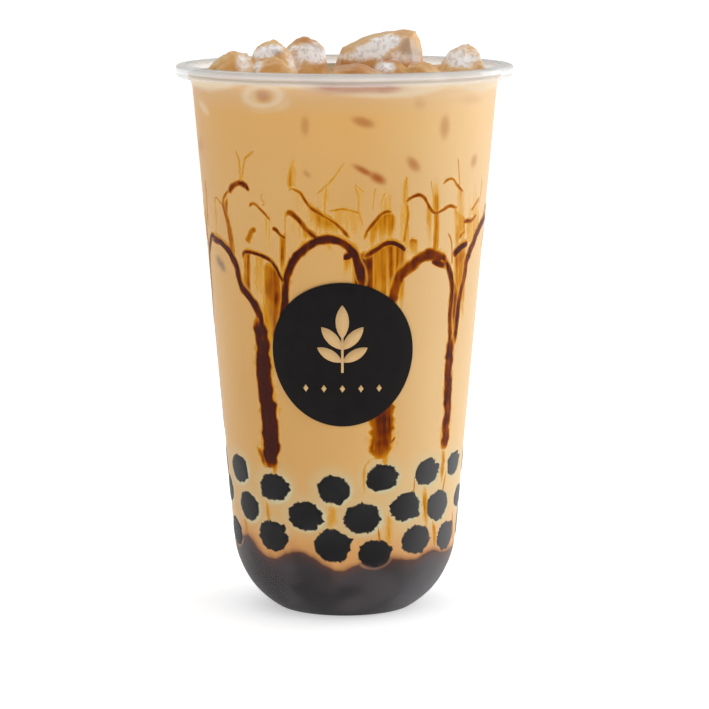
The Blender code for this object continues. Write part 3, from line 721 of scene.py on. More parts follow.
def plastic_material():
    """Clear plastic: see-through, glossier at a slant, and milky where the mask says, as in the rim."""
    material, tree = new_material("clear_plastic_look")
    clear = add_node(tree, "BsdfTransparent", {"Color": CLEAR_PLASTIC}).outputs[0]
    lines = noise_texture(tree, 40.0, 2.0, (0.25, 0.25, 20.0))
    milky_colour = blend_colours(tree, remap(tree, lines, 0.35, 0.65), *MILKY_TONES)
    milky = add_node(tree, "BsdfPrincipled", {"Base Color": milky_colour, "Roughness": 0.2}).outputs[0]
    body = add_node(tree, "MixShader", {0: mask_value(tree, "milky"), 1: clear, 2: milky}).outputs[0]
    facing = add_node(tree, "LayerWeight", {"Blend": 0.5}).outputs["Facing"]
    slant = calculate(tree, "MULTIPLY", calculate(tree, "POWER", facing, GLOSS_POWER), GLOSS_SLANT)
    sheen = calculate(tree, "ADD", slant, GLOSS_LEAST)
    gloss_share = calculate(tree, "MULTIPLY", sheen, mask_value(tree, "sheen"))
    gloss = add_node(tree, "BsdfGlossy", {"Roughness": 0.16, "Color": WHITE}).outputs[0]
    end_material(tree, add_node(tree, "MixShader", {0: gloss_share, 1: body, 2: gloss}).outputs[0])
    return material


def tea_material():
    """Milk tea: a soft tan with faint clouds, and a colour for each mask laid over it in turn."""
    material, tree = new_material("milk_tea_look")
    clouds = noise_texture(tree, 26.0, 3.0, (1.0, 1.0, 0.6))
    colour = blend_colours(tree, remap(tree, clouds, 0.3, 0.7), *TEA_TONES)
    end_surface(tree, lay_masks(tree, colour, TEA_MASKS), 0.45, 0.12)
    return material


def syrup_material():
    """Brown sugar syrup: its thickness makes it clear amber, then orange brown, then almost black."""
    material, tree = new_material("syrup_look")
    streaks = noise_texture(tree, 1.0, 3.0, (1300.0, 1300.0, 60.0))
    blots = noise_texture(tree, 330.0, 3.0)
    uneven = remap(tree, calculate(tree, "ADD", streaks, blots), 0.75, 1.25, 0.34, 0.66)
    thickness = mask_value(tree, "thickness")
    share = calculate(tree, "MULTIPLY", thickness, calculate(tree, "ADD", uneven, 0.5), clamp=True)
    ramp = add_node(tree, "ValToRGB", {"Fac": share})
    bands = ramp.color_ramp.elements
    bands[0].position, bands[0].color = 0.0, linear_colour(SYRUP_TONES[0][1])
    bands[1].position, bands[1].color = 1.0, linear_colour(SYRUP_TONES[-1][1])
    for position, tone in SYRUP_TONES[1:-1]:
        bands.new(position).color = linear_colour(tone)
    values = {"Base Color": ramp.outputs["Color"], "Roughness": 0.5, "Specular IOR Level": 0.02}
    syrup = add_node(tree, "BsdfPrincipled", values).outputs[0]
    clear = add_node(tree, "BsdfTransparent").outputs[0]
    cover = remap(tree, share, 0.0, 0.4)
    end_material(tree, add_node(tree, "MixShader", {0: cover, 1: clear, 2: syrup}).outputs[0])
    return material


def pearl_material():
    """Tapioca: charcoal with a faint bloom, and a violet grey sheen painted on at the sides."""
    material, tree = new_material("tapioca_look")
    bloom = remap(tree, noise_texture(tree, 130.0, 4.0), 0.35, 0.75)
    colour = blend_colours(tree, bloom, *PEARL_TONES)
    end_surface(tree, lay_masks(tree, colour, {"painted_sheen": PAINTED_SHEEN_GREY}), 0.6, 0.06)
    return material


def layer_material():
    """Dark layer: pearls in syrup, violet charcoal with darker pearls half showing, rusty at its edge."""
    material, tree = new_material("syrup_layer_look")
    blots = remap(tree, noise_texture(tree, 75.0, 2.0), 0.36, 0.64)
    colour = blend_colours(tree, blots, *LAYER_TONES)
    specks = calculate(tree, "MULTIPLY", remap(tree, noise_texture(tree, 900.0, 2.0), 0.70, 0.78), 0.3)
    colour = blend_colours(tree, specks, colour, LAYER_SPECK)
    # The masks lay painted sheen at the right and painted shade at the foot and lower left
    end_surface(tree, lay_masks(tree, colour, LAYER_MASKS), 0.5, 0.2)
    return material


def ice_material():
    """Ice wet with tea: tan, with brown crowns, cloudy white and violet grey patches, and a wet gloss."""
    material, tree = new_material("ice_look")
    fine = noise_texture(tree, 900.0, 4.0)
    coarse = noise_texture(tree, 210.0, 3.0)
    tan = blend_colours(tree, remap(tree, coarse, 0.35, 0.65), *ICE_TAN)
    tan = lay_masks(tree, tan, {"brown": ICE_CROWN})
    white = blend_colours(tree, remap(tree, fine, 0.35, 0.62), *ICE_CLOUD)
    crumbs = remap(tree, fine, 0.3, 0.62, 0.0, 0.3)
    lumps = remap(tree, coarse, 0.34, 0.62, 0.6, 1.0)
    broken = calculate(tree, "ADD", crumbs, lumps)
    whiteness = calculate(tree, "MULTIPLY", mask_value(tree, "white"), broken, clamp=True)
    colour = lay_masks(tree, blend_colours(tree, whiteness, tan, white), {"violet": ICE_GREY})
    relief = add_node(tree, "Bump", {"Height": fine, "Strength": 0.25, "Distance": 0.3 * MM})
    end_surface(tree, colour, 0.35, 0.25, {
        "Normal": relief.outputs["Normal"], "Subsurface Weight": 0.2, "Subsurface Scale": 1.0,
        "Subsurface Radius": (0.003, 0.002, 0.0015), "Coat Weight": 0.06, "Coat Roughness": 0.1,
        # The white patches glow faintly: painted light
        "Emission Color": blend_colours(tree, whiteness, BLACK, WHITE), "Emission Strength": ICE_PAINTED_GLOW,
    })
    return material


def print_material():
    """Printed ink: near black, satin, very slightly uneven."""
    material, tree = new_material("black_print_look")
    end_surface(tree, blend_colours(tree, noise_texture(tree, 240.0, 3.0), *PRINT_TONES), 0.5, 0.06)
    return material


def motif_material():
    """The sprig left clear in the ink, through which the tea shows."""
    material, tree = new_material("clear_motif_look")
    end_surface(tree, blend_colours(tree, noise_texture(tree, 90.0, 2.0), *MOTIF_TONES), 0.5, 0.12)
    return material


def make_camera():
    """Place the camera where the photograph was taken."""
    lens = bpy.data.cameras.new("photo_camera")
    lens.sensor_width = SENSOR_WIDTH
    lens.lens = FOCAL_PIXELS * SENSOR_WIDTH / FRAME_PIXELS
    camera = add_object("photo_camera", lens)
    camera.location = (0.0, -CAMERA_DISTANCE, CAMERA_HEIGHT)
    yaw = math.atan((AXIS_COLUMN - FRAME_PIXELS / 2.0) / FOCAL_PIXELS)
    camera.rotation_euler = (math.radians(90.0 - CAMERA_PITCH), 0.0, yaw)
    bpy.context.scene.camera = camera


def make_light(name, place, power, size):
    """Add a soft square light that faces the cup."""
    lamp = bpy.data.lights.new(name, "AREA")
    lamp.energy = power
    lamp.size = size
    light = add_object(name, lamp)
    light.location = place
    light.rotation_euler = (Vector(LIGHT_AIM) - Vector(place)).to_track_quat("-Z", "Y").to_euler()


def make_world():
    """Set a pale world that is darker in front and at the left, and brightest overhead."""
    world = bpy.data.worlds.new("studio")
    world.use_nodes = True
    tree = world.node_tree
    tree.nodes.clear()
    direction = add_node(tree, "TexCoord").outputs["Generated"]
    parts = add_node(tree, "SeparateXYZ", {0: direction}).outputs
    sides = remap(tree, parts["X"], -0.8, 0.9, *WORLD_SIDES)
    depth = remap(tree, parts["Y"], -0.5, 0.5, *WORLD_DEPTH)
    overhead = remap(tree, parts["Z"], 0.3, 0.85, 0.0, WORLD_ZENITH)
    level = calculate(tree, "MAXIMUM", calculate(tree, "MULTIPLY", sides, depth), overhead)
    strength = calculate(tree, "MULTIPLY", level, WORLD_LEVEL)
    sky = add_node(tree, "Background", {"Color": WHITE, "Strength": strength}).outputs[0]
    tree.links.new(sky, add_node(tree, "OutputWorld").inputs["Surface"])
    bpy.context.scene.world = world


def make_floor():
    """Lay a pale floor, which is no part of the object."""
    material, tree = new_material("floor_look")
    end_surface(tree, FLOOR_GREY, 0.8, 0.0, {"Emission Color": WHITE, "Emission Strength": FLOOR_GLOW})
    mesh = bpy.data.meshes.new("floor")
    corners = [(x * FLOOR_HALF, y * FLOOR_HALF, 0.0) for x, y in ((-1, -1), (1, -1), (1, 1), (-1, 1))]
    mesh.from_pydata(corners, [], [(0, 1, 2, 3)])
    mesh.materials.append(material)
    floor = add_object("floor", mesh)


def make_studio():
    """Set the world, soft lights and the floor."""
    bpy.context.scene.view_settings.view_transform = "Standard"
    make_world()
    for name, place, power, size in LIGHTS:
        make_light(name, place, power, size)
    make_floor()


def arc_points(middle, reach, start, end, steps):
    """List the points of an arc in a profile, from a start to an end turn in degrees."""
    points = []
    for step in range(steps + 1):
        turn = math.radians(start + (end - start) * step / steps)
        points.append((middle[0] + reach * math.cos(turn), middle[1] + reach * math.sin(turn)))
    return points


def wall_points(start, end, steps, inset=0.0, flare=0.0):
    """List points up or down the wall's profile between two heights, flaring out, without the first."""
    points = []
    for step in range(1, steps + 1):
        share = step / steps
        height = start + (end - start) * share
        points.append((float(wall_radius(height, inset)) + flare * share * share, height))
    return points


def cup_profile():
    """List the cup's profile from its base's middle, up the outside, over the rim and down the inside."""
    middle = corner_middle()
    lean = math.degrees(math.atan(WALL_SLOPE))
    rim_bottom = CUP_HEIGHT - RIM_DEPTH
    flare_bottom = rim_bottom - FLARE_HEIGHT
    low = math.degrees(math.asin(-middle[1] / CORNER_RADIUS))
    profile = [(0.0, 0.0)]
    profile += arc_points(middle, CORNER_RADIUS, low, -lean, 22)
    profile += wall_points(CORNER_TOP, flare_bottom, WALL_STEPS)
    profile += wall_points(flare_bottom, rim_bottom, FLARE_STEPS, flare=FLARE_WIDTH)
    # The rim: a skirt below a rounded bead
    skirt = RIM_RADIUS - BEAD_OVERHANG
    bead = RIM_RADIUS - RIM_ROUNDING
    inner_radius = float(wall_radius(CUP_HEIGHT, WALL_THICKNESS))
    rounding_bottom = CUP_HEIGHT - RIM_ROUNDING
    profile += arc_points((skirt - RIM_ROUNDING, rim_bottom + RIM_ROUNDING), RIM_ROUNDING, -90.0, 0.0, 5)
    profile.append((skirt, rim_bottom + SKIRT_TOP))
    profile += arc_points((bead, rim_bottom + BEAD_BOTTOM), RIM_ROUNDING, -30.0, 0.0, 3)
    profile += arc_points((bead, rounding_bottom), RIM_ROUNDING, 0.0, 90.0, 6)
    profile.append((inner_radius + 2.0 * MM, CUP_HEIGHT - 0.25 * MM))
    profile += arc_points((inner_radius + RIM_ROUNDING, rounding_bottom), RIM_ROUNDING, 90.0, 180.0, 5)
    # The inside
    profile += wall_points(rounding_bottom, CORNER_TOP, WALL_STEPS, WALL_THICKNESS)
    reach = CORNER_RADIUS - WALL_THICKNESS
    low = math.degrees(math.asin((WALL_THICKNESS - middle[1]) / reach))
    profile += arc_points(middle, reach, -lean, low, 16)[1:]
    profile.append((0.0, WALL_THICKNESS))
    return profile


def make_cup(material):
    """Turn the cup's profile, with the rim milkier than the wall."""
    profile = np.array(cup_profile())
    rings = profile[1:-1]
    angles = np.arange(CUP_SEGMENTS) * 360.0 / CUP_SEGMENTS
    points = around(rings[:, :1], angles, rings[:, 1:])
    points = with_ends(points, profile[0][1], profile[-1][1])
    heights = points[:, 2]
    rim_bottom = CUP_HEIGHT - RIM_DEPTH
    rim_share = smooth_step(heights, rim_bottom - 0.6 * MM, rim_bottom)
    haze_share = smooth_step(heights, DRINK_LEVEL - 1.5 * MM, DRINK_LEVEL + 1.0 * MM)
    outward = np.hypot(points[:, 0], points[:, 1]) > wall_radius(heights) + 0.2 * MM
    bead_share = 0.4 + 0.6 * smooth_step(heights, CUP_HEIGHT - 2.2 * MM, CUP_HEIGHT - 1.2 * MM)
    masks = {
        "milky": WALL_MILKY + HAZE_MILKY * haze_share + RIM_MILKY * rim_share * bead_share * outward,
        "sheen": FOOT_SHEEN + (1.0 - FOOT_SHEEN) * smooth_step(heights, *SHEEN_RISE),
    }
    faces = capped_faces(len(rings), CUP_SEGMENTS)
    cup = add_piece("cup_clear", points, faces, material, masks)
    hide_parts("cup")


def pearl_places():
    """List the pearls at the wall: angle, height, half width and half height, shown ones first."""
    places = []
    for column, row, width, height in PEARLS_SHOWN:
        angle, level = wall_place(column, row, PEARL_INSET)
        scale = FOCAL_PIXELS / (CAMERA_DISTANCE - float(wall_radius(level)))
        facing = max(math.cos(math.radians(angle)), 0.2)
        half_width = min(width / 2.0 / scale / facing, PEARL_WIDEST * PEARL_RADIUS)
        places.append((angle, level, half_width, height / 2.0 / scale))
    draw = random.Random(PEARL_SEED)
    for row_height in PEARL_ROW_HEIGHTS:
        near = [place[0] for place in places if abs(place[1] - row_height) < PEARL_ROW_REACH]
        first, last = max(near), min(near) + 360.0
        count = round((last - first) / PEARL_STEP) - 1
        for index in range(count):
            angle = first + (last - first) * (index + 1) / (count + 1)
            angle += draw.uniform(-HIDDEN_PEARL_TURN, HIDDEN_PEARL_TURN)
            size = PEARL_RADIUS * draw.uniform(*HIDDEN_PEARL_SIZES)
            level = row_height + draw.uniform(-HIDDEN_PEARL_RISE, HIDDEN_PEARL_RISE)
            half_width = size * draw.uniform(*HIDDEN_PEARL_WIDTHS)
            places.append((angle, level, half_width, size * draw.uniform(*HIDDEN_PEARL_HEIGHTS)))
    return places


def pearl_outline(draw, turns, index):
    """Give a pearl's ragged outline as a share of its size at each turn, with a few points that stand out."""
    ring = np.stack([np.cos(turns), np.sin(turns), np.full(PEARL_SIDES, 0.37 * index)], axis=-1)
    edge = np.ones(PEARL_SIDES)
    for scale, height in PEARL_RAGGEDNESS:
        edge += height * noise_at(ring, scale, 1.3 * index + scale)
    for _ in range(draw.randint(*PEARL_POINTS)):
        away = (turns - draw.gauss(*POINT_TURNS) + np.pi) % (2.0 * np.pi) - np.pi
        edge += draw.uniform(*POINT_HEIGHTS) * np.exp(-(away / draw.uniform(*POINT_WIDTHS)) ** 2)
    return edge


def make_pearls(material, places):
    """Make the pearls: balls pressed flat on the wall, with ragged edges."""
    rings, faces = [], []
    draw = random.Random(PEARL_SEED)
    turns = np.arange(PEARL_SIDES) * 2.0 * np.pi / PEARL_SIDES
    rows = len(PEARL_FORM)
    for index, (angle, level, half_width, half_height) in enumerate(places):
        edge = pearl_outline(draw, turns, index)
        thickness = 2.0 * min(half_width, half_height) * PEARL_DEPTH
        for depth, share in PEARL_FORM:
            shape = 1.0 + (edge - 1.0) * min(share / 0.9, 1.0) * (1.0 - 0.7 * depth)
            across = np.cos(turns) * half_width * share * shape
            heights = level + np.sin(turns) * half_height * share * shape
            radius = wall_radius(heights, PEARL_INSET + depth * thickness)
            rings.append(around(radius, angle + np.degrees(across / float(wall_radius(level))), heights))
        first = index * rows * PEARL_SIDES
        last = first + (rows - 1) * PEARL_SIDES
        grid = grid_faces(rows, PEARL_SIDES, closed=True, start=first)
        faces += [[low, high, high_next, low_next] for low, low_next, high_next, high in grid]
        faces.append(list(range(first, first + PEARL_SIDES)))
        faces.append(list(range(last + PEARL_SIDES - 1, last - 1, -1)))
    points = np.concatenate(rings)
    # The pearls at the sides get the wall's sheen painted on
    masks = {"painted_sheen": painted_side_sheen(np.degrees(np.arctan2(points[:, 0], -points[:, 1])))}
    pearls = add_piece("pearls_at_wall", points, faces, material, masks)
    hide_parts("pearls")


def painted_side_sheen(angles):
    """Give how far a painted sheen pales dark things: most at the right, less at the left, none behind."""
    painted_sheen = np.zeros(np.shape(angles))
    for side, rise, fall, strength in SIDE_PAINTED_SHEEN:
        painted_sheen += strength * smooth_step(side * angles, *rise) * (1.0 - smooth_step(side * angles, *fall))
    return painted_sheen


def layer_edge(angles):
    """Give the height of the dark layer's upper edge at angles."""
    known = [wall_place(column, row, LAYER_INSET) for column, row in LAYER_EDGE_SHOWN]
    first, last = known[0][0] + 360.0, known[-1][0]
    for step in range(1, LAYER_WAVE_STEPS):
        angle = last + (first - last) * step / LAYER_WAVE_STEPS
        known.append((angle, LAYER_TOP + LAYER_WAVE * math.sin(LAYER_WAVE_TURN * step)))
    known_angles, known_heights = np.array(known).T
    turn = np.radians(angles)
    places = np.stack([np.cos(turn), np.sin(turn), np.zeros_like(turn)], axis=-1)
    ripple = LAYER_RIPPLE * noise_at(places, 22.0, 9.0)
    return np.interp(angles, known_angles, known_heights, period=360.0) + ripple


def pearl_reach(angles, heights, place):
    """Give how far points on the wall lie from a pearl's outline, and the way there across and upwards."""
    angle, level, half_width, half_height = place
    turned = (angles - angle + 180.0) % 360.0 - 180.0
    x = np.radians(turned) * wall_radius(heights)
    z = heights - level
    distance = (np.hypot(x / half_width, z / half_height) - 1.0) * PEARL_RADIUS
    length = np.maximum(np.hypot(x, z), 1e-6)
    return distance, x / length, z / length


def layer_masks(angles, heights, edge, side, places):
    """Work out the dark layer's masks at its side's points."""
    below = edge[None, :] - heights
    uneven = noise_at(side, 300.0, 3.0)
    arcs = np.zeros(heights.shape)
    for place in places:
        distance, _, upward = pearl_reach(angles[None, :], heights, place)
        arc = np.exp(-((distance - 0.4 * MM) / (0.3 * MM)) ** 2) * smooth_step(-upward, -0.1, 0.5)
        arcs = np.maximum(arcs, arc)
    arcs *= (0.75 + 0.5 * uneven) * (1.0 - smooth_step(below, 1.5 * MM, 4.0 * MM))
    turned = (angles + 180.0) % 360.0 - 180.0
    # Painted sheen on the layer's right side
    painted_sheen = 0.8 * painted_side_sheen(turned) * smooth_step(turned, 0.0, 20.0)
    shade = pixel_patches(side, LAYER_SHADE, softness=0.6)
    return {
        "painted_sheen": np.broadcast_to(painted_sheen, heights.shape),
        # Painted shade, darker towards the very bottom and at the lower left
        "foot": np.maximum(np.exp(-heights / (1.6 * MM)), shade),
        "rust": 0.9 * np.exp(-below / ((1.3 + 0.6 * uneven) * MM)),
        "tan": 0.9 * arcs,
    }


def make_layer(material, places):
    """Make the dark layer: it fills the cup's bottom up to a wavy edge, and lies nearer the outside below."""
    angles = np.arange(LAYER_COLUMNS) * 360.0 / LAYER_COLUMNS
    edge = layer_edge(angles)
    share = (np.arange(LAYER_ROWS) / (LAYER_ROWS - 1.0))[:, None]
    heights = LAYER_BOTTOM + 0.02 * MM + (edge - LAYER_BOTTOM)[None, :] * (1.0 - (1.0 - share) ** 1.7)
    inset = LAYER_BOTTOM + (LAYER_INSET - LAYER_BOTTOM) * smooth_step(heights, 5.0 * MM, 12.0 * MM)
    side = around(wall_radius(heights, inset), angles, heights)
    lip = around(wall_radius(edge, LAYER_INSET) - LAYER_LIP, angles, edge - LAYER_LIP_DROP)
    points = with_ends(np.concatenate([side, lip[None]]), LAYER_BOTTOM, LAYER_TOP - 1.0 * MM)
    # The lip and the ends, which lie inside, stay clear of every mask
    rest = np.zeros(LAYER_COLUMNS + 2)
    masks = {
        label: np.clip(np.append(values.ravel(), rest), 0.0, 1.0)
        for label, values in layer_masks(angles, heights, edge, side, places).items()
    }
    add_piece("syrup_layer", points, capped_faces(LAYER_ROWS + 1, LAYER_COLUMNS), material, masks)


def rear_smudges(angles, heights):
    """Give a mask of ice sunk in the tea at the sides and back, where the photograph does not reach."""
    draw = random.Random(REAR_SEED)
    mask = np.zeros(angles.shape)
    for number in range(REAR_SMUDGES):
        angle = 95.0 + 170.0 * (number + draw.uniform(0.2, 0.8)) / REAR_SMUDGES
        height = draw.uniform(*REAR_SMUDGE_HEIGHTS) * MM
        long, short, spin = draw.uniform(1.6, 3.2) * MM, draw.uniform(0.8, 1.4) * MM, draw.uniform(0.2, 1.4)
        x, z = np.radians(angles - angle) * WALL_TOP_RADIUS, heights - height
        lengthways = (x * math.cos(spin) + z * math.sin(spin)) / long
        crossways = (z * math.cos(spin) - x * math.sin(spin)) / short
        reach = np.hypot(lengthways, crossways)
        mask = np.maximum(mask, draw.uniform(0.4, 0.9) * (1.0 - smooth_step(reach, 0.4, 1.5)))
    return mask


def tea_masks(angles, heights, places, points):
    """Work out the tea's masks at its side's points."""
    halo = np.zeros(angles.shape)
    for place in places:
        distance, across, upward = pearl_reach(angles, heights, place)
        lower_right = 0.66 + 0.4 * (across - upward)
        near = np.exp(-(np.maximum(distance - 0.3 * MM, 0.0) / HALO_NEAR) ** 2)
        wide = 0.42 * np.exp(-(np.maximum(distance, 0.0) / HALO_WIDE) ** 2)
        halo = np.maximum(halo, np.maximum(near * lower_right, wide))
    halo *= smooth_step(heights, *HALO_RISE)
    above = heights - layer_edge(angles[0])[None, :]
    uneven = noise_at(points, 260.0)
    warm = 0.8 * np.exp(-np.maximum(above, 0.0) / WARM_REACH) * (1.0 + 0.4 * uneven)
    stain_reach = (STAIN_REACH + 0.7 * uneven) * MM
    stain = 1.1 * np.exp(-np.maximum(above + 0.2 * MM, 0.0) / stain_reach)
    columns, rows = photo_place(points)
    known_columns, known_rows = zip(*PALE_EDGE)
    band = 1.0 - smooth_step(rows - np.interp(columns, known_columns, known_rows), -3.0, 3.0)
    column, row, ring_width, ring_height = RING
    ring = np.hypot((columns - column) / ring_width, (rows - row) / ring_height)
    ring = np.exp(-((ring - 1.0) / 0.3) ** 2)
    in_front = smooth_step(-points[..., 1], 0.0, 8.0 * MM)
    pale = np.maximum(0.85 * band, np.maximum(0.8 * ring, pixel_patches(points, PALE_CLOUDS)))
    behind = 0.8 * smooth_step(heights, DRINK_LEVEL - 1.6 * MM, DRINK_LEVEL - 0.4 * MM)
    sunken = pixel_patches(points, SUNKEN_ICE, 0.14 * uneven, 0.6) * in_front
    return {
        "high": 0.8 * smooth_step(heights, *HIGH_RISE),
        # Light painted on the tea's right side, fading round towards the back
        "painted_right_light": RIGHT_LIGHT_SHARE * smooth_step(angles, *RIGHT_LIGHT_RISE) * (1.0 - smooth_step(angles, *RIGHT_LIGHT_FALL)),
        "warm": warm,
        "halo": halo,
        "pale": pale * in_front + behind * (1.0 - in_front),
        "spot": sunken + rear_smudges(angles, heights),
        "grey": pixel_patches(points, SUNKEN_GREY, 0.1 * uneven, 0.6) * in_front,
        "stain": stain,
    }


def tea_top(angles, edge_radius):
    """Give the rings of the tea's top, which climbs at the wall, and how pale and how lit it is painted
    there.
    """
    rings, pale = [], []
    for ring in range(1, TOP_RINGS):
        radius = edge_radius * (1.0 - (ring / TOP_RINGS) ** 1.15)
        away = edge_radius - radius
        flat = around(radius, angles, DRINK_LEVEL + CLIMB * math.exp(-away / CLIMB_REACH))
        flat[:, 2] += TOP_RIPPLE * noise_at(flat, 90.0) * (1.0 - math.exp(-away / (3.0 * MM)))
        rings.append(flat)
        pale.append(0.7 + 0.5 * noise_at(flat, 70.0, 4.0))
    return np.stack(rings), np.clip(np.stack(pale), 0.0, 1.0)


def make_tea(material, places):
    """Make the milk tea: a body that reaches into the wall, its skin climbing up to under the rim."""
    front = np.linspace(-FRONT_TURN, FRONT_TURN, FRONT_COLUMNS)
    back = np.linspace(FRONT_TURN, 360.0 - FRONT_TURN, BACK_COLUMNS + 2)[1:-1]
    angles = np.concatenate([front, back])
    runs = [np.linspace(low, high, steps, endpoint=False) for low, high, steps in TEA_ROW_STEPS]
    levels = np.append(np.concatenate(runs), DRINK_LEVEL + CLIMB)
    angle_grid, level_grid = np.meshgrid(angles, levels)
    flare_bottom = CUP_HEIGHT - RIM_DEPTH - FLARE_HEIGHT
    flare = np.clip((level_grid - flare_bottom) / FLARE_HEIGHT, 0.0, 1.0) ** 2 * FLARE_WIDTH
    side = around(wall_radius(level_grid, TEA_INSET) + flare, angle_grid, level_grid)
    top, top_pale_and_light = tea_top(angles, float(wall_radius(levels[-1], TEA_INSET)))
    points = np.concatenate([side, top])
    masks = {}
    for label, values in tea_masks(angle_grid, level_grid, places, side).items():
        cap = TOP_SHARES.get(label, 0.0) * top_pale_and_light
        masks[label] = np.clip(np.concatenate([values.ravel(), cap.ravel(), [0.0, 0.0]]), 0.0, 1.0)
    faces = capped_faces(*points.shape[:2])
    points = with_ends(points, TEA_BOTTOM, DRINK_LEVEL)
    tea = add_piece("milk_tea_body", points, faces, material, masks)
    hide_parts("drink")


def smooth_path(places, spacing):
    """Read points along a smooth curve through the places, each an angle and a height."""
    known = [np.array(place, float) for place in places]
    known = [2.0 * known[0] - known[1]] + known + [2.0 * known[-1] - known[-2]]
    path = []
    for before, start, end, after in zip(known, known[1:], known[2:], known[3:]):
        radius = float(wall_radius(start[1]))
        length = math.hypot(math.radians(end[0] - start[0]) * radius, end[1] - start[1])
        steps = max(int(length / spacing), 1)
        for step in range(steps):
            t = step / steps
            bend = (end - before) * t + (2.0 * before - 5.0 * start + 4.0 * end - after) * t ** 2
            bend += (3.0 * start - before - 3.0 * end + after) * t ** 3
            path.append(start + 0.5 * bend)
    path.append(known[-2])
    return np.array(path)


def make_ribbon(places, widths, strength, seed, inset=STROKE_INSET, ragged=0.18, form=THREAD_FORM):
    """Give one syrup stroke as a ribbon on the wall, thick along its middle and clear at its edges.

    The widths are those at its start and end. The form is how flat it is across and how softly it ends.
    """
    flatness, soft_end = form
    path = smooth_path(places, RIBBON_STEP)
    count = len(path)
    share = np.linspace(0.0, 1.0, count)
    radius = wall_radius(path[:, 1], inset)
    metric = np.stack([np.radians(path[:, 0]) * radius.mean(), path[:, 1]], axis=-1)
    along = np.gradient(metric, axis=0)
    along /= np.maximum(np.linalg.norm(along, axis=1, keepdims=True), 1e-9)
    across = np.stack([along[:, 1], -along[:, 0]], axis=-1)
    travel = np.stack([metric[:, 0], metric[:, 1], np.full(count, 0.01 * seed)], axis=-1)
    wobble = noise_at(travel, 300.0, seed)
    slow = noise_at(travel, 130.0, seed + 11.0)
    width = (widths[0] + (widths[1] - widths[0]) * share) * MM * (1.0 + ragged * wobble + 0.12 * slow)
    taper = np.minimum(smooth_step(share, -0.02, soft_end), 1.0 - smooth_step(share, 1.03 - soft_end, 1.03))
    sides = np.linspace(-1.0, 1.0, RIBBON_SIDES)
    drift = 0.12 * np.max(width) * noise_at(travel, 330.0, seed + 5.0)
    edges = [noise_at(travel, 850.0, seed + shift) for shift in (20.0, 30.0)]
    rough = np.where(sides[None, :] < 0.0, edges[0][:, None], edges[1][:, None])
    half_width = 0.62 * width * (0.45 + 0.55 * taper)
    reach = sides[None, :] * half_width[:, None] * (1.0 + 0.2 * rough) + drift[:, None]
    heights = path[:, 1:2] + across[:, 1:2] * reach
    angles = path[:, 0:1] + np.degrees(across[:, 0:1] * reach / radius[:, None])
    lift = STROKE_LIFT * (1.0 - sides ** 2)[None, :] * min(strength, 1.0)
    points = around(wall_radius(heights, inset - lift), angles, heights)
    profile = 1.0 - np.abs(sides) ** flatness
    thickness = strength * profile[None, :] * (0.35 + 0.65 * taper)[:, None] * (1.0 + 0.16 * slow[:, None])
    return points, grid_faces(count, RIBBON_SIDES), np.clip(thickness, 0.0, 1.3)


def make_film(top_line, bottom_line, strength, seed, lean):
    """Give an amber film as a streaked sheet between two lines of angles and heights, worn at one end."""
    top_line, bottom_line = np.array(top_line), np.array(bottom_line)
    known = (top_line[:, 0] - top_line[0, 0]) / (top_line[-1, 0] - top_line[0, 0])
    width = math.radians(top_line[-1, 0] - top_line[0, 0]) * float(wall_radius(top_line[0, 1]))
    columns = max(int(width / FILM_CELL[0]), 8)
    rows = max(int(np.max(top_line[:, 1] - bottom_line[:, 1]) / FILM_CELL[1]), 10)
    across = np.linspace(0.0, 1.0, columns)
    rise = np.linspace(0.0, 1.0, rows)[:, None]
    top, bottom = (
        np.stack([np.interp(across, known, line[:, part]) for part in (0, 1)], axis=-1)
        for line in (top_line, bottom_line)
    )
    angles = bottom[:, 0] + (top[:, 0] - bottom[:, 0]) * rise
    heights = bottom[:, 1] + (top[:, 1] - bottom[:, 1]) * rise
    points = around(wall_radius(heights, FILM_INSET - 0.006 * MM * (seed % 5)), angles, heights)
    line = np.stack([across * width, np.zeros(columns), np.full(columns, 0.01 * seed)], axis=-1)
    streaks = noise_at(line, 900.0, seed) + 0.8 * noise_at(line, 2400.0, seed + 3.0)
    worn = noise_at(line, 700.0, seed + 7.0) + 0.6 * noise_at(line, 2200.0, seed + 9.0)
    cloud = noise_at(points, 260.0, seed)
    away = np.minimum(across, 1.0 - across) * width
    sides = smooth_step(away, 0.0, min(FILM_SOFT_SIDE, 0.4 * width))
    down = rise if lean < 0 else 1.0 - rise
    wear, fade_start, fade_end = (0.3, 0.3, 1.05) if lean else (0.05, 0.86, 1.0)
    ends = smooth_step(down + 0.05 * worn, -0.02, 0.07)
    ends = ends * (1.0 - smooth_step(down + wear * worn, fade_start, fade_end))
    thickness = 0.95 * strength * sides * ends * (1.2 + 0.65 * streaks + 0.3 * cloud)
    return points, grid_faces(rows, columns), np.clip(thickness, 0.0, 1.0)


def film_from_pixels(places):
    """Carry a film's top and bottom lines onto the wall, its top tucked up under the stroke it hangs from."""
    top_line = [wall_place(column, top - FILM_TUCK) for column, top, bottom in places]
    return top_line, [wall_place(column, bottom) for column, top, bottom in places]


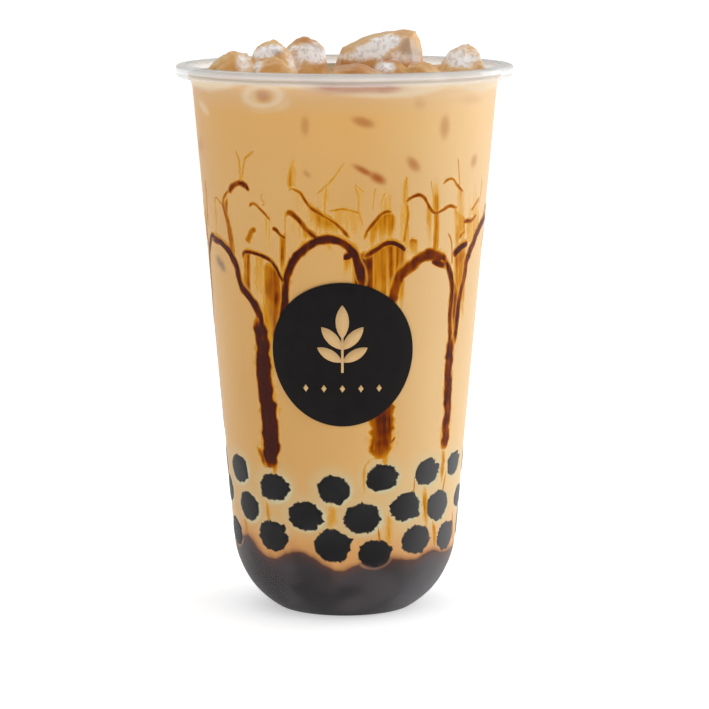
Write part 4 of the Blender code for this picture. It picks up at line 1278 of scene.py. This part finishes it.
def rear_arches():
    """List strokes for the sides and back, in the shown arches' manner."""
    strokes = []
    for crown, left, right in zip(REAR_CROWNS, REAR_COLUMNS, REAR_COLUMNS[1:]):
        middle, span = (left + right) / 2.0, (right - left) / 2.0 - 1.0
        arch = [(left + lean, height) for lean, height in REAR_LEG]
        for step in range(1, REAR_ARCH_STEPS):
            turn = math.pi * step / REAR_ARCH_STEPS
            height = REAR_SPRINGING + (crown - REAR_SPRINGING) * math.sin(turn)
            arch.append((middle - span * math.cos(turn), height))
        arch += [(right - lean, height) for lean, height in REAR_LEG[::-1]]
        strokes.append((arch, (REAR_ARCH_WIDTH, REAR_ARCH_WIDTH), 1.0))
    # An arch joins the last stroke shown at the right to the first column behind
    angle, crown = wall_place(*BRIDGE_START)
    foot = REAR_COLUMNS[0]
    bridge = [(angle - 1.0, crown - 0.6 * MM), (angle + 5.0, crown + 1.6 * MM)]
    bridge += [(foot - 16.0, crown + 1.2 * MM), (foot - 8.0, crown - 5.0 * MM)]
    bridge += [(foot - lean, height) for lean, height in REAR_LEG[:0:-1]]
    strokes.append((bridge, (2.8, REAR_ARCH_WIDTH), 0.9))
    for number, angle in enumerate(REAR_COLUMNS):
        foot = REAR_FOOT + 1.5 * MM * math.cos(2.0 * number)
        column = [(angle, REAR_SPRINGING - 4.0 * MM), (angle + 0.6, 72.0 * MM), (angle - 0.4, 58.0 * MM)]
        column.append((angle, foot))
        strokes.append((column, (3.8, 5.0), 1.0 if number % 2 else 0.76))
    return strokes


def rear_threads(draw):
    """List thin strokes for the sides and back: small arches, hooks and hairs above the big arches."""
    strokes = []
    for number in range(REAR_THREADS):
        angle = 80.0 + 200.0 * (number + draw.uniform(0.2, 0.8)) / REAR_THREADS
        height = draw.uniform(*REAR_THREAD_TOPS) * MM
        kind = number % 3
        if kind == 0:
            reach, drop = draw.uniform(3.0, 6.5), draw.uniform(3.0, 7.0) * MM
            shape = ((-1.0, 1.0), (-0.5, 0.25), (0.0, 0.0), (0.6, 0.35), (1.0, 1.0))
            widths, strengths = (0.8, 0.9), (0.6, 0.8)
        elif kind == 1:
            reach, drop = draw.uniform(6.0, 12.0) * draw.choice((-1.0, 1.0)), draw.uniform(7.0, 14.0) * MM
            shape = ((0.0, 0.0), (0.2, 0.05), (0.6, 0.5), (1.0, 1.0))
            widths, strengths = (0.9, 1.2), (0.6, 0.85)
        else:
            drop, reach = draw.uniform(9.0, 20.0) * MM, draw.uniform(-1.5, 1.5)
            shape = ((0.0, -5.0 * MM / drop), (1.0, 0.3), (-0.4, 1.0))
            widths, strengths = (0.4, 0.6), (0.28, 0.4)
        places = [(angle + across * reach, height - down * drop) for across, down in shape]
        strokes.append((places, widths, draw.uniform(*strengths)))
    return strokes


def rear_films(draw):
    """Make the films of the sides and back, each between a slanting top and a level foot."""
    films = []
    for number in range(REAR_FILMS):
        angle = 84.0 + 192.0 * (number + draw.uniform(0.1, 0.9)) / REAR_FILMS
        top = draw.uniform(*REAR_FILM_TOPS) * MM
        bottom = top - draw.uniform(*REAR_FILM_LENGTHS) * MM
        reach = draw.uniform(2.0, 6.0)
        bend = draw.uniform(-3.0, 3.0) * MM
        top_line = [(angle - reach, top - bend), (angle, top), (angle + reach, top + bend)]
        bottom_line = [(place[0], bottom) for place in top_line]
        strength = draw.uniform(*REAR_FILM_STRENGTHS)
        lean = draw.choice((1, 1, -1))
        films.append(make_film(top_line, bottom_line, strength, REAR_FILM_SEED + number, lean))
    return films


def shown_strokes(table):
    """Carry a table of traced strokes onto the wall, each as places, widths and strength."""
    return [
        ([wall_place(column, row) for column, row in pixels], (start, end), strength)
        for start, end, strength, pixels in table
    ]


def make_syrup(material):
    """Make all the syrup on the wall: films, then trickles and thin strokes, then thick strokes."""
    draw = random.Random(REAR_SEED)
    films = [
        make_film(*film_from_pixels(places), strength, number, lean)
        for number, (strength, lean, places) in enumerate(FILMS)
    ]
    add_syrup("syrup_films", films + rear_films(draw), material)

    threads = []
    for number, (places, widths, strength) in enumerate(shown_strokes(THIN_STROKES + TRICKLES)):
        form = THREAD_FORM if number < len(THIN_STROKES) else TRICKLE_FORM
        widths = [THREAD_WIDENING * width for width in widths]
        seed = THREAD_SEED + number
        threads.append(make_ribbon(places, widths, strength, seed, THREAD_INSET, THREAD_RAGGED, form))
    for number, (places, widths, strength) in enumerate(rear_threads(draw)):
        seed = REAR_THREAD_SEED + number
        threads.append(make_ribbon(places, widths, strength, seed, THREAD_INSET, THREAD_RAGGED))
    add_syrup("syrup_threads", threads, material)

    arches = []
    for number, (places, widths, strength) in enumerate(shown_strokes(THICK_STROKES) + rear_arches()):
        form = WIDE_FORM if max(widths) > WIDE_STROKE else NARROW_FORM
        raised = [(angle, height + GLOW_RISE) for angle, height in places]
        glow_widths = [GLOW_WIDTH * width for width in widths]
        glow = GLOW_STRENGTH * strength
        seed = GLOW_SEED + number
        arches.append(make_ribbon(raised, glow_widths, glow, seed, GLOW_INSET, GLOW_RAGGED, GLOW_FORM))
        arches.append(make_ribbon(places, widths, STROKE_STRENGTH * strength, number, form=form))
    add_syrup("syrup_arches", arches, material)


def cube_grid(cuts):
    """List the points and faces of a cube whose sides are cut into squares."""
    index, points, faces = {}, [], []
    steps = cuts + 1
    for axis in range(3):
        for sign in (-1.0, 1.0):
            for row in range(steps):
                for column in range(steps):
                    face = []
                    for down, right in ((0, 0), (0, 1), (1, 1), (1, 0)):
                        place = [0, 0, 0]
                        place[axis] = steps * int(sign)
                        place[(axis + 1) % 3] = 2 * (row + down) - steps
                        place[(axis + 2) % 3] = 2 * (column + right) - steps
                        key = tuple(place)
                        if key not in index:
                            index[key] = len(points)
                            points.append([value / steps for value in place])
                        face.append(index[key])
                    faces.append(face[::-1] if sign > 0.0 else face)
    return np.array(points), faces


def make_ice(node, looks, material, square, faces):
    """Make one ice piece: the part's rounded block with melted dents, fitted to its box."""
    half_sizes, turn, tilt, roundness, slope, narrowing, peak, hidden_white, hidden_brown = looks
    lowest, highest = (np.array(corner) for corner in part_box(node))
    ball = square / np.linalg.norm(square, axis=1, keepdims=True) * ICE_BALL
    form = square * (1.0 - roundness) + ball * roundness
    offset = np.array([len(node), sum(half_sizes), 0.0])
    form *= (1.0 + ICE_UNEVENNESS * noise_at(form + offset, 1.3))[:, None]
    for scale, depth in ICE_DENTS:
        form *= (1.0 + depth * noise_at(form + offset, scale))[:, None]
    sized = form * np.array(half_sizes)
    rise = np.maximum(form[:, 2], 0.0) ** ICE_PEAK_CURVE
    sized[:, 2] += np.where(sized[:, 2] > 0.0, slope * sized[:, 0], 0.0)
    sized[:, 0] = sized[:, 0] * (1.0 - narrowing * rise) + peak * half_sizes[0] * rise
    sized[:, 1] *= 1.0 - narrowing * rise
    spin = np.array(Euler((0.0, math.radians(tilt), math.radians(turn))).to_matrix())
    turned = sized @ spin.T
    share = (turned - turned.min(axis=0)) / (turned.max(axis=0) - turned.min(axis=0))
    points = lowest + share * (highest - lowest)
    ragged = 0.35 * noise_at(points, 260.0, 2.0) + 0.3 * noise_at(points, 700.0, 6.0)
    hidden = smooth_step(points[:, 1] - points[:, 1].mean(), 0.0, 3.0 * MM)
    cloudy = smooth_step(noise_at(points, 150.0, 4.0) + ragged, -0.1, 0.5)
    masks = {
        "white": pixel_patches(points, ICE_WHITE, ragged) * (1.0 - hidden) + hidden_white * cloudy * hidden,
        "violet": pixel_patches(points, ICE_VIOLET, ragged) * (1.0 - hidden),
        "brown": pixel_patches(points, ICE_BROWN, 0.5 * ragged) * (1.0 - hidden) + hidden_brown * hidden,
    }
    lump = add_piece(f"{node}_lump", points, faces, material, masks)
    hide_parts(node)


def print_place(across, upward, lift):
    """Give points on the wall at distances across and up from the print's middle, lifted off it."""
    heights = PRINT_HEIGHT + np.asarray(upward) * math.cos(math.atan(WALL_SLOPE))
    angles = PRINT_ANGLE + np.degrees(np.asarray(across) / float(wall_radius(PRINT_HEIGHT)))
    return around(wall_radius(heights, -lift), angles, heights)


def make_print(material):
    """Make the round print as a thin disc with rounded edges that follows the wall."""
    turns = np.arange(PRINT_SIDES) * 2.0 * np.pi / PRINT_SIDES
    top = PRINT_LIFT + PRINT_THICKNESS
    profile = [(share, 0.02 * MM) for share in (0.05, 0.35, 0.65, 0.995)]
    profile += [(1.0, 0.5 * PRINT_LIFT), (1.0, PRINT_LIFT + 0.6 * PRINT_THICKNESS), (0.997, top)]
    profile += [(share, top) for share in (0.8, 0.6, 0.4, 0.2, 0.05)]
    rings = []
    for share, lift in profile:
        reach = PRINT_RADIUS * share
        rings.append(print_place(np.cos(turns) * reach, np.sin(turns) * reach, lift))
    faces = grid_faces(len(profile), PRINT_SIDES, closed=True)
    faces.append(list(range(PRINT_SIDES))[::-1])
    start = (len(profile) - 1) * PRINT_SIDES
    faces.append(list(range(start, start + PRINT_SIDES)))
    disc = add_piece("print_disc", np.stack(rings), faces, material)
    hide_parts("print")


def leaf_outline(length, width, steps=14):
    """List the outline of a leaf: the space that two equal circles share."""
    radius = (length ** 2 / 4.0 + width ** 2 / 4.0) / width
    half_turn = math.asin(length / 2.0 / radius)
    outline = []
    for side in (1.0, -1.0):
        for step in range(steps):
            turn = half_turn * (1.0 - 2.0 * step / steps) * side
            rise = radius * math.cos(turn) - radius + width / 2.0
            outline.append((length / 2.0 - radius * math.sin(turn), side * rise))
    return outline


def motif_shapes():
    """List the outlines of the sprig's leaves and stem and of the lozenges, across and up from the middle."""
    shapes = []
    for height, turn, length, width in SPRIG_LEAVES:
        spin = math.radians(turn)
        outline = leaf_outline(length * MM, width * MM)
        shapes.append([
            (x * math.cos(spin) - y * math.sin(spin), height * MM + x * math.sin(spin) + y * math.cos(spin))
            for x, y in outline
        ])
    stem = SPRIG_STEM_WIDTH / 2.0
    levels = np.linspace(*SPRIG_STEM, 9)
    shapes.append([(stem, level) for level in levels] + [(-stem, level) for level in levels[::-1]])
    tall = LOZENGE_TALLER * LOZENGE_SIZE
    for number in range(LOZENGE_COUNT):
        x = (number - (LOZENGE_COUNT - 1) / 2.0) * LOZENGE_STEP
        shapes.append([
            (x + LOZENGE_SIZE, LOZENGE_LEVEL), (x, LOZENGE_LEVEL + tall),
            (x - LOZENGE_SIZE, LOZENGE_LEVEL), (x, LOZENGE_LEVEL - tall),
        ])
    return shapes


def make_motif(material):
    """Make a plain sprig and a row of lozenges on the print, each shape a thin plate."""
    points, faces = [], []
    print_top = PRINT_LIFT + PRINT_THICKNESS
    top, bottom = print_top + MOTIF_LIFT, print_top - MOTIF_DEPTH
    for shape in motif_shapes():
        flat = np.array(shape)
        middle = flat.mean(axis=0)
        start = len(points)
        count = len(shape)
        points += print_place(flat[:, 0], flat[:, 1], bottom).tolist()
        points += print_place(flat[:, 0], flat[:, 1], top).tolist()
        points += print_place(middle[:1], middle[1:], top).tolist()
        points += print_place(middle[:1], middle[1:], bottom).tolist()
        area = sum(flat[i - 1][0] * flat[i][1] - flat[i][0] * flat[i - 1][1] for i in range(count))
        loop = list(range(count)) if area > 0.0 else list(range(count))[::-1]
        for here, after in zip(loop, loop[1:] + loop[:1]):
            faces.append([start + here, start + after, start + count + after, start + count + here])
            faces.append([start + count + here, start + count + after, start + 2 * count])
            faces.append([start + after, start + here, start + 2 * count + 1])
    add_piece("print_sprig", np.array(points), faces, material)


def main():
    """Dress the part."""
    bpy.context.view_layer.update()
    make_camera()
    make_studio()
    places = pearl_places()
    make_cup(plastic_material())
    make_tea(tea_material(), places)
    make_layer(layer_material(), places)
    make_pearls(pearl_material(), places)
    make_syrup(syrup_material())
    ice = ice_material()
    square, faces = cube_grid(ICE_CUTS)
    for node, looks in ICE_PIECES.items():
        make_ice(node, looks, ice, square, faces)
    make_print(print_material())
    make_motif(motif_material())


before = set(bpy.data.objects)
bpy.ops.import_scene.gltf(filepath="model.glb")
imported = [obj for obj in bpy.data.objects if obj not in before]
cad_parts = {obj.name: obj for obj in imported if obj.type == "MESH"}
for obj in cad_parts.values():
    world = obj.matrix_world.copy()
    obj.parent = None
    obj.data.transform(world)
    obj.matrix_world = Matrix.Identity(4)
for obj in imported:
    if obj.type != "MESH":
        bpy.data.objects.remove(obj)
main()
